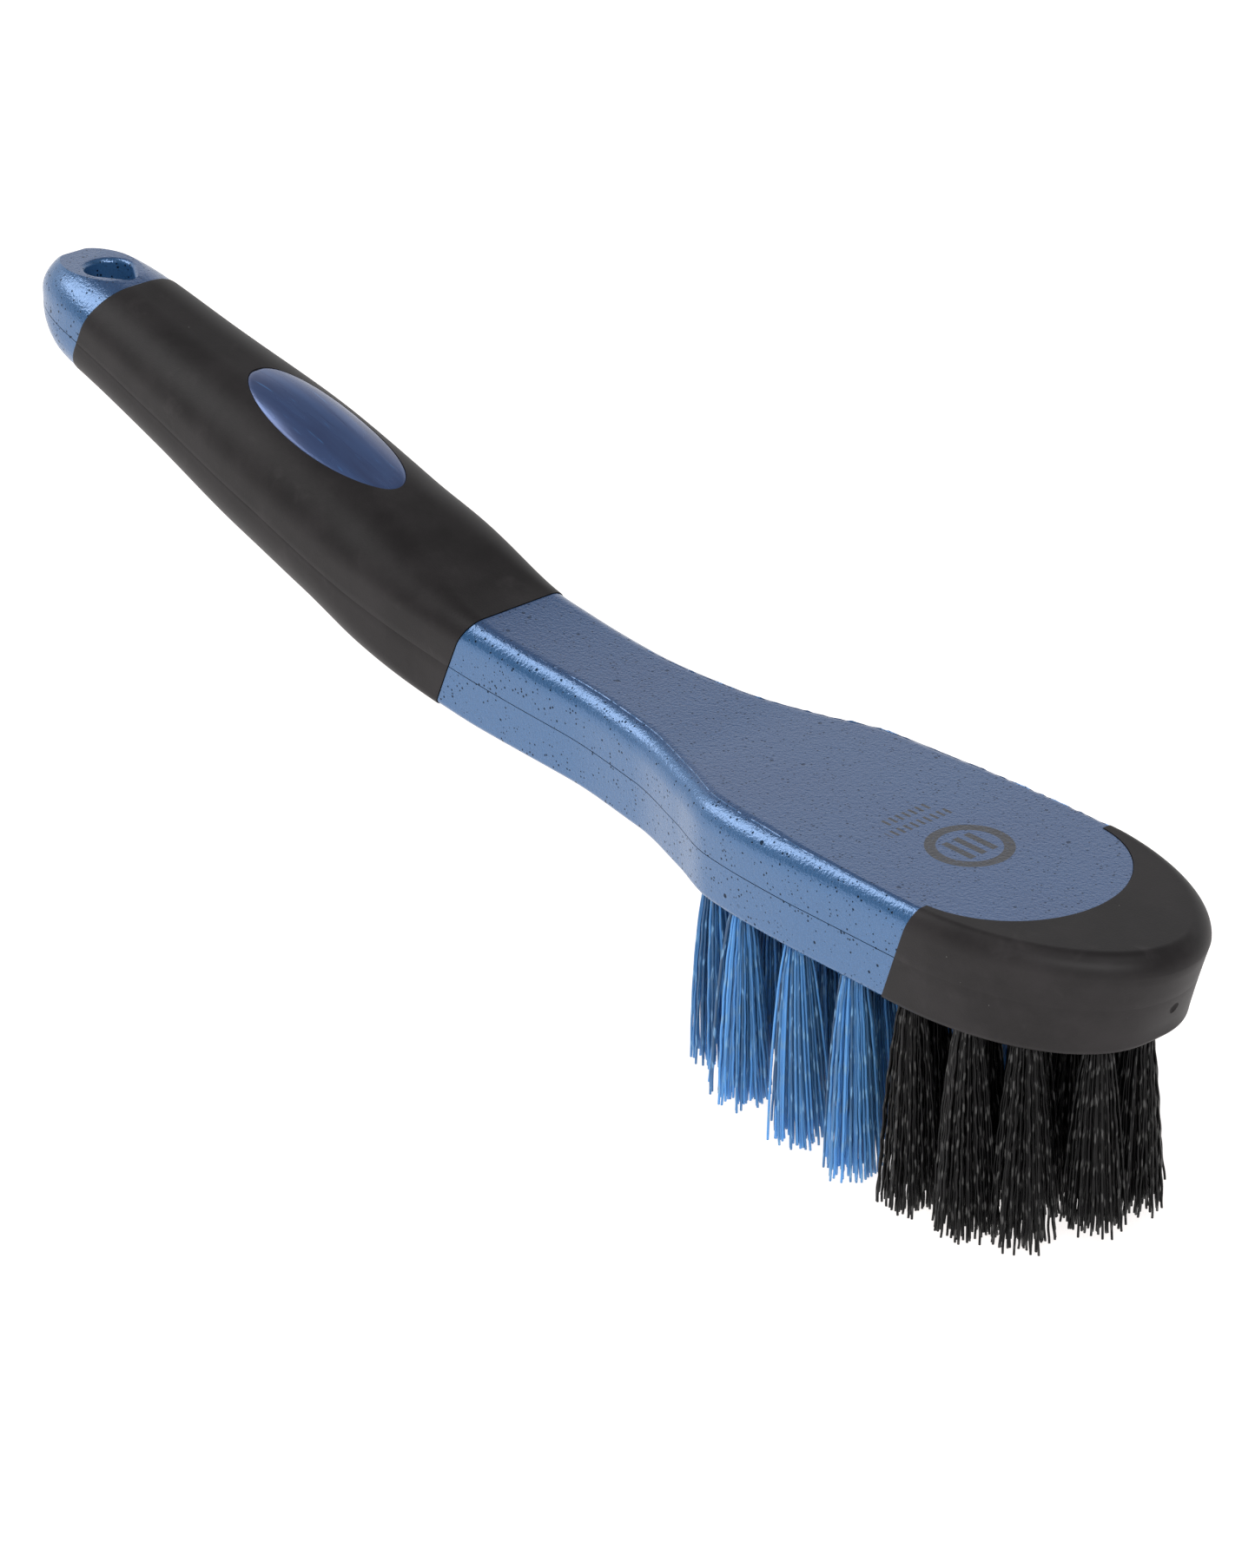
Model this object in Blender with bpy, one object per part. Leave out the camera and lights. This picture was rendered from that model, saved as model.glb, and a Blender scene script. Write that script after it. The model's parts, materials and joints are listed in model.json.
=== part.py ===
"""Long-handled scrubbing brush: a moulded body, a rubber grip sleeve, a rubber toe bumper and stapled bristle tufts.

The brush lies along X with its toe at +X and its bristles down. Shape dimensions are millimetres: "back" is measured
from the tip of the toe towards the hang end, and "height" from the flat top of the block, upwards.
"""

import math

import bmesh
import bpy
import numpy as np
from mathutils import Matrix, Vector

MM = 0.001

# Overall size
LENGTH = 370.0
BLOCK_HALF_WIDTH = 30.0
BLOCK_THICKNESS = 23.5
BRISTLE_LENGTH = 50.0
FIT_GAP = 0.3

# Outline and side profile of the body: back from the toe, half width, top height, bottom height
BODY_STATIONS = (
    (60, 30.0, 0.0, -23.5),
    (80, 30.0, 0.0, -23.5),
    (95, 29.5, 0.0, -23.5),
    (110, 28.0, 0.0, -23.5),
    (125, 22.5, 0.0, -23.5),
    (145, 16.5, 0.5, -23.5),
    (170, 14.0, 1.5, -22.5),
    (200, 14.5, 4.0, -21.0),
    (240, 18.5, 17.5, -16.0),
    (280, 18.0, 29.0, -5.0),
    (315, 16.0, 36.0, 6.5),
    (350, 14.2, 43.0, 16.5),
    (375, 13.5, 45.5, 22.0),
)
TOE_ROUND_LENGTH = 51.5
HANG_ROUND_LENGTH = 26.0
HANG_PROFILE_ROUND_LENGTH = 20.0
HANG_ROUND_POWER = 2.4

# Edges and walls
TOP_EDGE_RADIUS = 3.0
BOTTOM_EDGE_RADIUS = 1.5
SIDE_DRAFT = 1.0
TOE_DRAFT = 6.5
GRIP_ROUND_START = 195.0
GRIP_ROUND_FULL = 255.0
GRIP_ROUND_WIDTH_SHARE = 0.82
GRIP_ROUND_TOP_SHARE = 0.75
GRIP_ROUND_BOTTOM_SHARE = 0.8

# Grip sleeve: its ends lean, as a plane square to the rising handle does
GRIP_FRONT = 207.5
GRIP_REAR = 344.0
GRIP_WALL = 3.0
GRIP_LEAN = 0.45
GRIP_LEAN_START = 165.0
WINDOW_BACK = 268.0
WINDOW_HALF_LENGTH = 25.5
WINDOW_HALF_WIDTH = 10.5

# Hang end
FACET_HEIGHT = 41.6
FACET_START = 325.0
HANG_HOLE_BACK = 350.0
HANG_HOLE_RADIUS = 5.6
HANG_HOLE_POINT = 10.5
HANG_COLLAR_WALL = 1.6

# Toe bumper: the junction on the side leans back towards the underside
BUMPER_WALL = 3.0
BUMPER_TOP_WALL = 2.5
BUMPER_JOIN_BACK = 46.8
BUMPER_JOIN_LEAN = 0.37
TONGUE_BACK = 49.0
TONGUE_HALF_LENGTH = 25.0
TONGUE_HALF_WIDTH = 25.5

# Tufts: rows of (back from the toe, half spacing across)
OUTER_ROW = ((117.0, 17.5), (104.0, 22.0), (87.5, 22.0), (70.5, 22.0), (53.5, 22.0), (38.5, 21.0))
INNER_ROW = ((111.5, 7.0), (95.5, 7.3), (79.5, 7.3), (63.5, 7.3), (47.5, 7.3), (35.0, 6.3))
TOE_ROW = ((27.5, 15.5), (16.5, 6.0))
BLUE_TUFTS_BEHIND = 66.0
TUFT_HOLE_RADIUS = 2.4
TUFT_HOLE_DEPTH = 15.0
TUFT_RADIUS = 2.1
TUFT_TIP_RADIUS = 5.6
TUFT_DEPTH = 12.4
TUFT_LEAN = 1.2
HEEL_TRIM_START = 55.0
HEEL_TRIM_CURVE = 0.00156
TOE_TRIM_START = 32.0
TOE_TRIM_CURVE = 0.022
ANCHOR_SIZE = (4.2, 0.5, 2.0)

# How finely the shapes are divided
EDGE_STEPS = 4
TOE_STEPS = 12
HANG_STEPS = 8
OUTLINE_STEPS = 48
GRIP_STEPS = 18
TUFT_SIDES = 12

COLOURS = {
    "blue_plastic": ((0.045, 0.105, 0.27), 0.38, 0.25),
    "black_rubber": ((0.022, 0.021, 0.022), 0.62, 0.0),
    "blue_bristle": ((0.03, 0.11, 0.36), 0.4, 0.0),
    "black_bristle": ((0.008, 0.008, 0.009), 0.35, 0.0),
    "anchor_steel": ((0.5, 0.5, 0.5), 0.35, 1.0),
}


def clear_scene():
    for obj in list(bpy.data.objects):
        bpy.data.objects.remove(obj, do_unlink=True)


def make_materials():
    made = {}
    for name, (colour, roughness, metallic) in COLOURS.items():
        material = bpy.data.materials.new(name)
        material.use_nodes = True
        shader = material.node_tree.nodes["Principled BSDF"]
        shader.inputs["Base Color"].default_value = (*colour, 1.0)
        shader.inputs["Roughness"].default_value = roughness
        shader.inputs["Metallic"].default_value = metallic
        made[name] = material
    return made


def smooth_step(value, start, end):
    share = np.clip((value - start) / (end - start), 0.0, 1.0)
    return share * share * (3.0 - 2.0 * share)


class StationCurve:
    """A smooth curve through one column of the stations that never overshoots them."""

    def __init__(self, column):
        self.at = np.array([row[0] for row in BODY_STATIONS], float)
        self.value = np.array([row[column] for row in BODY_STATIONS], float)
        widths = np.diff(self.at)
        slopes = np.diff(self.value) / widths
        self.slope = np.zeros_like(self.value)
        for i in range(1, len(self.at) - 1):
            before, after = slopes[i - 1], slopes[i]
            if before * after > 0:
                near = 2 * widths[i] + widths[i - 1]
                far = widths[i] + 2 * widths[i - 1]
                self.slope[i] = (near + far) / (near / before + far / after)
        self.slope[-1] = slopes[-1]

    def __call__(self, back):
        back = float(np.clip(back, self.at[0], self.at[-1]))
        i = int(np.clip(np.searchsorted(self.at, back) - 1, 0, len(self.at) - 2))
        width = self.at[i + 1] - self.at[i]
        t = (back - self.at[i]) / width
        rise = t * t * (3 - 2 * t)
        start = t * (1 - t) ** 2 * width
        end = -t * t * (1 - t) * width
        value = self.value[i] * (1 - rise) + self.value[i + 1] * rise
        return value + self.slope[i] * start + self.slope[i + 1] * end


HALF_WIDTH = StationCurve(1)
TOP = StationCurve(2)
BOTTOM = StationCurve(3)


def end_round(back, length):
    """How far the hang end has closed in at this point: 1 before the round, 0 at the tip."""
    share = np.clip((back - LENGTH + length) / length, 0.0, 1.0)
    return math.sqrt(max(0.0, 1.0 - share**HANG_ROUND_POWER))


def half_width_at(back):
    if back < TOE_ROUND_LENGTH:
        share = 1.0 - max(back, 0.0) / TOE_ROUND_LENGTH
        return BLOCK_HALF_WIDTH * math.sqrt(max(0.0, 1.0 - share * share))
    return HALF_WIDTH(back) * end_round(back, HANG_ROUND_LENGTH)


def heights_at(back):
    top, bottom = TOP(back), BOTTOM(back)
    middle, half = (top + bottom) / 2, (top - bottom) / 2
    half *= max(end_round(back, HANG_PROFILE_ROUND_LENGTH), 0.12)
    return middle + half, middle - half


def outline_stations():
    """Distances back from the toe, close together where the ends turn."""
    toe = [TOE_ROUND_LENGTH * (1 - math.cos(math.pi / 2 * i / TOE_STEPS)) for i in range(TOE_STEPS)]
    straight = np.linspace(TOE_ROUND_LENGTH, LENGTH - HANG_ROUND_LENGTH, OUTLINE_STEPS)
    hang = [
        LENGTH - HANG_ROUND_LENGTH * (1 - math.sin(math.pi / 2 * (i + 1) / HANG_STEPS))
        for i in range(HANG_STEPS)
    ]
    return toe + list(straight) + hang


def grip_stations(gap):
    """Distances back along the grip, kept the same for the sleeve and the core so that the gap between them holds."""
    stations = list(np.linspace(GRIP_FRONT, GRIP_REAR, GRIP_STEPS))
    return [GRIP_FRONT + gap, *stations[1:-1], GRIP_REAR - gap]


def lean_share(back):
    """How much a section leans with the rising handle: not at all on the head and at the very end, fully on the grip."""
    start = smooth_step(back, GRIP_LEAN_START, GRIP_FRONT)
    end = 1 - smooth_step(back, GRIP_REAR, LENGTH - 4)
    return start * end


def inward(back):
    """The direction into the body, in plan, at the side's outline: (back, across). It is square to X on the grip."""
    if back <= 0:
        return 1.0, 0.0
    if back >= LENGTH:
        return -1.0, 0.0
    step = min(0.2, back / 2, (LENGTH - back) / 2)
    run = 2 * step
    rise = half_width_at(back + step) - half_width_at(back - step)
    along = rise / math.hypot(run, rise) * (1 - lean_share(back))
    return along, -math.sqrt(1 - along * along)


def edge_profile(back, half_width, thickness):
    """The side of the section from its top edge to its bottom edge: (inset, height share) pairs."""
    grip = smooth_step(back, GRIP_ROUND_START, GRIP_ROUND_FULL)
    round_width = GRIP_ROUND_WIDTH_SHARE * half_width
    top_in = TOP_EDGE_RADIUS * (1 - grip) + round_width * grip
    top_drop = TOP_EDGE_RADIUS * (1 - grip) + GRIP_ROUND_TOP_SHARE * thickness / 2 * grip
    low_in = BOTTOM_EDGE_RADIUS * (1 - grip) + round_width * grip
    low_rise = BOTTOM_EDGE_RADIUS * (1 - grip) + GRIP_ROUND_BOTTOM_SHARE * thickness / 2 * grip
    if back > TOE_ROUND_LENGTH:
        top_in = min(top_in, 0.98 * half_width)
        low_in = min(low_in, 0.98 * half_width)
    along, across = inward(back)
    draft = SIDE_DRAFT * (1 - grip)
    if back < TOE_ROUND_LENGTH:
        draft = SIDE_DRAFT * across**2 + TOE_DRAFT * along**2
    pairs = []
    for i in range(EDGE_STEPS + 1):
        turn = math.pi / 2 * (1 - i / EDGE_STEPS)
        pairs.append((top_in * (1 - math.cos(turn)), 1 - top_drop * (1 - math.sin(turn)) / thickness))
    for i in range(EDGE_STEPS + 1):
        turn = math.pi / 2 * i / EDGE_STEPS
        inset = draft + low_in * (1 - math.cos(turn))
        pairs.append((inset, low_rise * (1 - math.sin(turn)) / thickness))
    return pairs


def ring_at(back, shrink=0.0):
    """One closed section of the body's outside, or of a core that many millimetres inside it."""
    top, bottom = heights_at(back)
    thickness = top - bottom
    half_width = half_width_at(back)
    along, across = inward(back)
    lean = GRIP_LEAN * lean_share(back)
    side = []
    for inset, share in edge_profile(back, half_width, thickness):
        here = back + along * (inset + shrink) + lean * (0.5 - share) * (thickness - 2 * shrink)
        high, low = heights_at(here)
        scale = 1 - 2 * shrink / (high - low)
        height = (high + low) / 2 + (share - 0.5) * (high - low) * scale
        out = half_width + across * (inset + shrink * (half_width - inset) / max(half_width, 0.1))
        side.append((here, max(out, 0.0), height))
    top_middle = (side[0][0], 0.0, side[0][2])
    low_middle = (side[-1][0], 0.0, side[-1][2])
    right = [(back_, -out, height) for back_, out, height in side]
    left = [(back_, out, height) for back_, out, height in reversed(side)]
    ring = [top_middle, *right, low_middle, *left]
    if shrink == 0.0:
        ring = [(b, a, min(h, FACET_HEIGHT) if b > FACET_START else h) for b, a, h in ring]
    return ring


def place(back, across, height):
    """A point in the world from a point of the shape."""
    x = LENGTH / 2 - back
    return Vector((x, across, height + BLOCK_THICKNESS + BRISTLE_LENGTH)) * MM


def link(name, mesh_data, material):
    mesh = bpy.data.meshes.new(name)
    mesh_data.to_mesh(mesh)
    mesh_data.free()
    obj = bpy.data.objects.new(name, mesh)
    bpy.context.collection.objects.link(obj)
    if material:
        mesh.materials.append(material)
    return obj


def finish_shape(shape):
    bmesh.ops.remove_doubles(shape, verts=shape.verts, dist=0.001 * MM)
    bmesh.ops.dissolve_degenerate(shape, edges=shape.edges, dist=0.001 * MM)
    bmesh.ops.recalc_face_normals(shape, faces=shape.faces)


def skin(rings, join_ends=False):
    """A closed shape through the rings: capped at both ends, or joined end to start."""
    shape = bmesh.new()
    rows = [[shape.verts.new(place(*point)) for point in ring] for ring in rings]
    count = len(rows[0])
    pairs = list(zip(rows, rows[1:]))
    if join_ends:
        pairs.append((rows[-1], rows[0]))
    for first, second in pairs:
        for i in range(count):
            j = (i + 1) % count
            shape.faces.new((first[i], first[j], second[j], second[i]))
    if not join_ends:
        shape.faces.new(rows[0])
        shape.faces.new(reversed(rows[-1]))
    finish_shape(shape)
    return shape


def prism(outline, low, high):
    """A straight-sided shape from a plan outline of (back, across) points."""
    shape = bmesh.new()
    rows = [[shape.verts.new(place(back, across, height)) for back, across in outline] for height in (low, high)]
    count = len(outline)
    for i in range(count):
        j = (i + 1) % count
        shape.faces.new((rows[0][i], rows[0][j], rows[1][j], rows[1][i]))
    shape.faces.new(rows[0])
    shape.faces.new(reversed(rows[1]))
    finish_shape(shape)
    return shape


def ellipse(back, half_length, half_width, steps):
    turns = [2 * math.pi * i / steps for i in range(steps)]
    return [(back + half_length * math.cos(turn), half_width * math.sin(turn)) for turn in turns]


def cutter(name, shape):
    obj = link(name, shape, None)
    obj.hide_render = True
    obj.display_type = "WIRE"
    return obj


def add_boolean(obj, other, operation):
    modifier = obj.modifiers.new(f"{operation.title()} {other.name}", "BOOLEAN")
    modifier.object = other
    modifier.operation = operation
    modifier.solver = "EXACT"


def shade(obj, degrees=35):
    for polygon in obj.data.polygons:
        polygon.use_smooth = True
    obj.data.set_sharp_from_angle(angle=math.radians(degrees))


def toe_core(name, grow):
    """The part of the block inside the bumper: a stepped core with the tongue of the top face on it."""
    half_width = BLOCK_HALF_WIDTH - SIDE_DRAFT - BUMPER_WALL + grow
    half_length = TOE_ROUND_LENGTH - TOE_DRAFT - BUMPER_WALL + grow
    steps = 28
    turns = [math.pi / 2 + math.pi * i / steps for i in range(steps + 1)]
    arc = [(TOE_ROUND_LENGTH + half_length * math.cos(t), half_width * math.sin(t)) for t in turns]
    outline = [*arc, (TOE_ROUND_LENGTH + 40, -half_width), (TOE_ROUND_LENGTH + 40, half_width)]
    core = cutter(name, prism(outline, -BLOCK_THICKNESS - 15, -BUMPER_TOP_WALL + grow))
    tongue_outline = ellipse(TONGUE_BACK, TONGUE_HALF_LENGTH + grow, TONGUE_HALF_WIDTH + grow, 48)
    tongue = cutter(f"{name}_tongue", prism(tongue_outline, -BUMPER_TOP_WALL - 6, 12))
    add_boolean(core, tongue, "UNION")
    return core


def toe_zone(name, gap):
    """Everything in front of the leaning junction between the block and its bumper."""
    low, high = -BLOCK_THICKNESS - 10, 8
    shape = bmesh.new()
    rows = []
    for across in (-50, 50):
        corners = (
            (BUMPER_JOIN_BACK - BUMPER_JOIN_LEAN * high + gap, high),
            (BUMPER_JOIN_BACK - BUMPER_JOIN_LEAN * low + gap, low),
            (-20, low),
            (-20, high),
        )
        rows.append([shape.verts.new(place(back, across, height)) for back, height in corners])
    for i in range(4):
        j = (i + 1) % 4
        shape.faces.new((rows[0][i], rows[0][j], rows[1][j], rows[1][i]))
    shape.faces.new(rows[0])
    shape.faces.new(reversed(rows[1]))
    finish_shape(shape)
    return cutter(name, shape)


def tuft_places():
    """Every tuft as (name, back, across, blue), left rows on +Y."""
    places = []
    for row_name, row in (("outer", OUTER_ROW), ("inner", INNER_ROW), ("toe", TOE_ROW)):
        for side_name, side in (("left", 1), ("right", -1)):
            for number, (back, across) in enumerate(row, 1):
                blue = back > BLUE_TUFTS_BEHIND
                places.append((f"{row_name}_{side_name}_{number}", back, side * across, blue))
    return places


def tuft_holes():
    """All the blind holes in the underside of the block, as one cutter."""
    shape = bmesh.new()
    for _, back, across, _ in tuft_places():
        top = -BLOCK_THICKNESS + TUFT_HOLE_DEPTH
        low = -BLOCK_THICKNESS - 6
        middle = place(back, across, (top + low) / 2)
        bmesh.ops.create_cone(
            shape,
            cap_ends=True,
            segments=TUFT_SIDES,
            radius1=TUFT_HOLE_RADIUS * MM,
            radius2=TUFT_HOLE_RADIUS * MM,
            depth=(top - low) * MM,
            matrix=Matrix.Translation(middle),
        )
    bmesh.ops.recalc_face_normals(shape, faces=shape.faces)
    return cutter("tuft_hole_cutter", shape)


def hang_hole_outline(grow=0.0):
    """The teardrop of the hanging hole, its point towards the grip."""
    radius = HANG_HOLE_RADIUS + grow
    point = HANG_HOLE_POINT * radius / HANG_HOLE_RADIUS
    tangent = math.acos(radius / point)
    steps = 24
    turns = [tangent + (2 * math.pi - 2 * tangent) * i / steps for i in range(steps + 1)]
    arc = [(HANG_HOLE_BACK - radius * math.cos(turn), radius * math.sin(turn)) for turn in turns]
    return [*arc, (HANG_HOLE_BACK - point, 0.0)]


def flush_boss(name, first, last, outline, low, high):
    """A boss that rises from the core to the outside of the grip, within a plan outline."""
    form = cutter(name, skin([ring_at(back) for back in np.linspace(first, last, 16)]))
    add_boolean(form, cutter(f"{name}_outline", prism(outline, low, high)), "INTERSECT")
    return form


def make_body(material):
    outside = outline_stations()
    front = [ring_at(back) for back in outside if back < GRIP_FRONT - 2]
    rear = [ring_at(back) for back in outside if back > GRIP_REAR + 1]
    core = [ring_at(back, GRIP_WALL + FIT_GAP) for back in grip_stations(0.0)]
    rings = [*front, ring_at(GRIP_FRONT), *core, ring_at(GRIP_REAR), *rear]
    body = link("brush_body", skin(rings), material)
    window = ellipse(WINDOW_BACK, WINDOW_HALF_LENGTH - FIT_GAP, WINDOW_HALF_WIDTH - FIT_GAP, 32)
    collar = hang_hole_outline(HANG_COLLAR_WALL)
    hole = prism(hang_hole_outline(), 0, 60)
    recess = toe_zone("bumper_recess", FIT_GAP)
    add_boolean(recess, toe_core("toe_core_of_body", 0.0), "DIFFERENCE")
    add_boolean(body, flush_boss("window_boss", 230, 306, window, 8, 60), "UNION")
    add_boolean(body, flush_boss("hang_collar", 325, 358, collar, 0, 30), "UNION")
    add_boolean(body, cutter("hang_hole_cutter", hole), "DIFFERENCE")
    add_boolean(body, recess, "DIFFERENCE")
    add_boolean(body, tuft_holes(), "DIFFERENCE")
    shade(body)
    return body


def make_grip(material):
    stations = grip_stations(FIT_GAP)
    outer = [ring_at(back) for back in stations]
    inner = [ring_at(back, GRIP_WALL) for back in reversed(stations)]
    grip = link("grip_sleeve", skin([*outer, *inner], join_ends=True), material)
    window = prism(ellipse(WINDOW_BACK, WINDOW_HALF_LENGTH, WINDOW_HALF_WIDTH, 32), 8, 60)
    add_boolean(grip, cutter("window_cutter", window), "DIFFERENCE")
    notch = prism(hang_hole_outline(HANG_COLLAR_WALL + FIT_GAP), -20, 30)
    add_boolean(grip, cutter("collar_notch", notch), "DIFFERENCE")
    shade(grip)
    return grip


def make_bumper(material):
    stations = [back for back in outline_stations() if back < TOE_ROUND_LENGTH]
    stations += [TOE_ROUND_LENGTH, TOE_ROUND_LENGTH + 10, TOE_ROUND_LENGTH + 20]
    bumper = link("toe_bumper", skin([ring_at(back) for back in stations]), material)
    add_boolean(bumper, toe_zone("bumper_zone", 0.0), "INTERSECT")
    add_boolean(bumper, toe_core("toe_core_of_bumper", FIT_GAP), "DIFFERENCE")
    shade(bumper)
    return bumper


def trim_height(back):
    """Height of the bristle tips above the lowest ones: the heel and toe tufts are cut shorter, on a curve."""
    heel = max(0.0, back - HEEL_TRIM_START)
    toe = max(0.0, TOE_TRIM_START - back)
    return HEEL_TRIM_CURVE * heel**2 + TOE_TRIM_CURVE * toe**2


def make_tuft(name, back, across, material):
    """One bundle: straight in its hole, then fanning out and leaning a little towards the toe."""
    exit_height = -BLOCK_THICKNESS
    tip_height = exit_height - BRISTLE_LENGTH + trim_height(back)
    shape = bmesh.new()
    rows = []
    for share in (None, 0.0, 0.35, 0.7, 1.0):
        fan = 0.0 if share is None else share
        height = exit_height + TUFT_DEPTH if share is None else exit_height + (tip_height - exit_height) * share
        radius = TUFT_RADIUS + (TUFT_TIP_RADIUS - TUFT_RADIUS) * fan**1.2
        centre = (back - TUFT_LEAN * fan**1.4, across)
        turns = [2 * math.pi * i / TUFT_SIDES for i in range(TUFT_SIDES)]
        ring = [
            place(centre[0] + radius * math.cos(turn), centre[1] + radius * math.sin(turn), height)
            for turn in turns
        ]
        rows.append([shape.verts.new(point) for point in ring])
    for first, second in zip(rows, rows[1:]):
        for i in range(TUFT_SIDES):
            j = (i + 1) % TUFT_SIDES
            shape.faces.new((first[i], first[j], second[j], second[i]))
    shape.faces.new(rows[0])
    shape.faces.new(reversed(rows[-1]))
    bmesh.ops.recalc_face_normals(shape, faces=shape.faces)
    tuft = link(f"bristle_tuft_{name}", shape, material)
    shade(tuft)
    return tuft


def make_anchor(name, back, across, material):
    """The flat steel anchor at the blind end of a tuft hole."""
    top = -BLOCK_THICKNESS + TUFT_HOLE_DEPTH - FIT_GAP
    middle = place(back, across, top - ANCHOR_SIZE[2] / 2)
    size = Matrix.Diagonal((*(side * MM for side in ANCHOR_SIZE), 1.0))
    shape = bmesh.new()
    bmesh.ops.create_cube(shape, size=1.0, matrix=Matrix.Translation(middle) @ size)
    return link(f"tuft_anchor_{name}", shape, material)


def main():
    clear_scene()
    materials = make_materials()
    make_body(materials["blue_plastic"])
    make_grip(materials["black_rubber"])
    make_bumper(materials["black_rubber"])
    for name, back, across, blue in tuft_places():
        make_tuft(name, back, across, materials["blue_bristle" if blue else "black_bristle"])
        make_anchor(name, back, across, materials["anchor_steel"])


main()
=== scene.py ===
"""A long-handled scrubbing brush: a pearl-blue moulded body, rubber sleeve and toe bumper, stapled bristles.

Inside the shape functions lengths are millimetres: "back" runs from the tip of the toe towards the hang end,
"across" is +Y, and "height" is measured upwards from the flat top of the block.
"""

import json
import math

import bmesh
import bpy
import numpy as np
from bpy.props import FloatProperty, FloatVectorProperty, IntProperty, PointerProperty
from mathutils import Matrix, Vector
from mathutils.bvhtree import BVHTree

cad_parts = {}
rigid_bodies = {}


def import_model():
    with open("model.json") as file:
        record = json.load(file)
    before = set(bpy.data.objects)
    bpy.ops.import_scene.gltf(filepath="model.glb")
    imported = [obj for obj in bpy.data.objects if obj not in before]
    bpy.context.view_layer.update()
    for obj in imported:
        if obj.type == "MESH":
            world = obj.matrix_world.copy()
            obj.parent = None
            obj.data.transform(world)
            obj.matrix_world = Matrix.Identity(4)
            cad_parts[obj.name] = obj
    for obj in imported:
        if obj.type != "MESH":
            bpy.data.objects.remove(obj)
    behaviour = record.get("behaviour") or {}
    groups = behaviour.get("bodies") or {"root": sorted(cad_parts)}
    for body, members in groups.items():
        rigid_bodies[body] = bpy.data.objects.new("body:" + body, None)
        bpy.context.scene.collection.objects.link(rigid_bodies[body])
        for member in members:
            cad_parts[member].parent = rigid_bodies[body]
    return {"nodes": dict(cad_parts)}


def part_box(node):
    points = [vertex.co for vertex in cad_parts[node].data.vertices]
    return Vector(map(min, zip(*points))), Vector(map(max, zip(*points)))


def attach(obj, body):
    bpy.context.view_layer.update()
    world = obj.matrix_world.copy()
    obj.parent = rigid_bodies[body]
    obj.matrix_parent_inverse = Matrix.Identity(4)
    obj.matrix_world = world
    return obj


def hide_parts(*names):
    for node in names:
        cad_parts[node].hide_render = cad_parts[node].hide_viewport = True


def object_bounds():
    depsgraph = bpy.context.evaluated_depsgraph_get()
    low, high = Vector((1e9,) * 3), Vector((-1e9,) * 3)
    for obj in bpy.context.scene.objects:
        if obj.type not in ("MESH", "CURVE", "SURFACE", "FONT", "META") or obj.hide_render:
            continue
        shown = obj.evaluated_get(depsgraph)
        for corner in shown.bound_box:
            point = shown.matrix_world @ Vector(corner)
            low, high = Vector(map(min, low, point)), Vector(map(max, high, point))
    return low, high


bl_info = {
    "name": "Scrubbing Brush",
    "version": (1, 0, 0),
    "blender": (4, 5, 0),
    "location": "3D View > Sidebar > Brush",
    "description": "Builds a long-handled scrubbing brush with a rubber grip and stapled bristles",
    "category": "Object",
}

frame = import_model()
CAD_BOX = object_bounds()

MM = 0.001
BODY = "root"

# Overall size, from the frame
LENGTH = round((CAD_BOX[1].x - CAD_BOX[0].x) / MM, 2)
TOE_X = CAD_BOX[1].x / MM
BLOCK_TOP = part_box("toe_bumper")[1].z / MM
BLOCK_HALF_WIDTH = 30.0
BLOCK_THICKNESS = 23.5

# Outline and side profile of the body: back from the toe, half width, top height, bottom height
BODY_STATIONS = (
    (60, 30.0, 0.0, -23.5),
    (80, 30.0, 0.0, -23.5),
    (95, 29.5, 0.0, -23.5),
    (110, 28.0, 0.0, -23.5),
    (125, 22.8, 0.0, -23.5),
    (145, 16.9, 0.5, -23.5),
    (170, 14.4, 1.5, -22.5),
    (200, 14.9, 4.0, -21.0),
    (240, 18.5, 17.5, -16.0),
    (280, 18.0, 29.0, -5.0),
    (315, 16.0, 36.0, 6.5),
    (350, 14.2, 43.0, 16.5),
    (375, 13.5, 45.5, 22.0),
)
# The rounded rim of the top: back from the toe, inset from the side, fall down the side
RIM_STATIONS = (
    (0, 4.0, 4.6),
    (46, 3.1, 5.0),
    (60, 3.2, 5.2),
    (78, 3.9, 5.8),
    (98, 5.0, 5.9),
    (150, 4.9, 5.6),
    (205, 4.6, 5.6),
)
TOE_ROUND_LENGTH = 51.5
HANG_ROUND_LENGTH = 26.0
HANG_PROFILE_ROUND_LENGTH = 20.0
HANG_ROUND_POWER = 2.4
HANG_LEAST_SHARE = 0.12

# Edges and walls
BOTTOM_EDGE_RADIUS = 1.5
SIDE_DRAFT = 1.0
TOE_DRAFT = 6.5
GRIP_ROUND_START = 195.0
GRIP_ROUND_FULL = 255.0
GRIP_ROUND_WIDTH_SHARE = 0.82
GRIP_ROUND_TOP_SHARE = 0.75
GRIP_ROUND_BOTTOM_SHARE = 0.8
SEAM_SHARE = 0.48
SEAM_HALF_WIDTH = 0.10
SLEEVE_SEAM = 0.03
BUMPER_SEAM = 0.012
CREASE_TURN = 0.14
CREASE_STARTS = (42, 50)
CREASE_ENDS = (100, 150)
EDGE_LIMIT_SHARE = 0.98

# Grip sleeve: its ends lean, as a plane square to the rising handle does
GRIP_FRONT = 207.5
GRIP_REAR = 344.0
GRIP_WALL = 3.0
GRIP_LEAN = 0.45
GRIP_LEAN_START = 165.0
WINDOW_BACK = 269.4
WINDOW_ACROSS = 0.9
WINDOW_HALF_LENGTH = 25.5
WINDOW_HALF_WIDTH = 10.5
DOME_SKEW = 0.9
JOINT_GAP = 0.15

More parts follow.
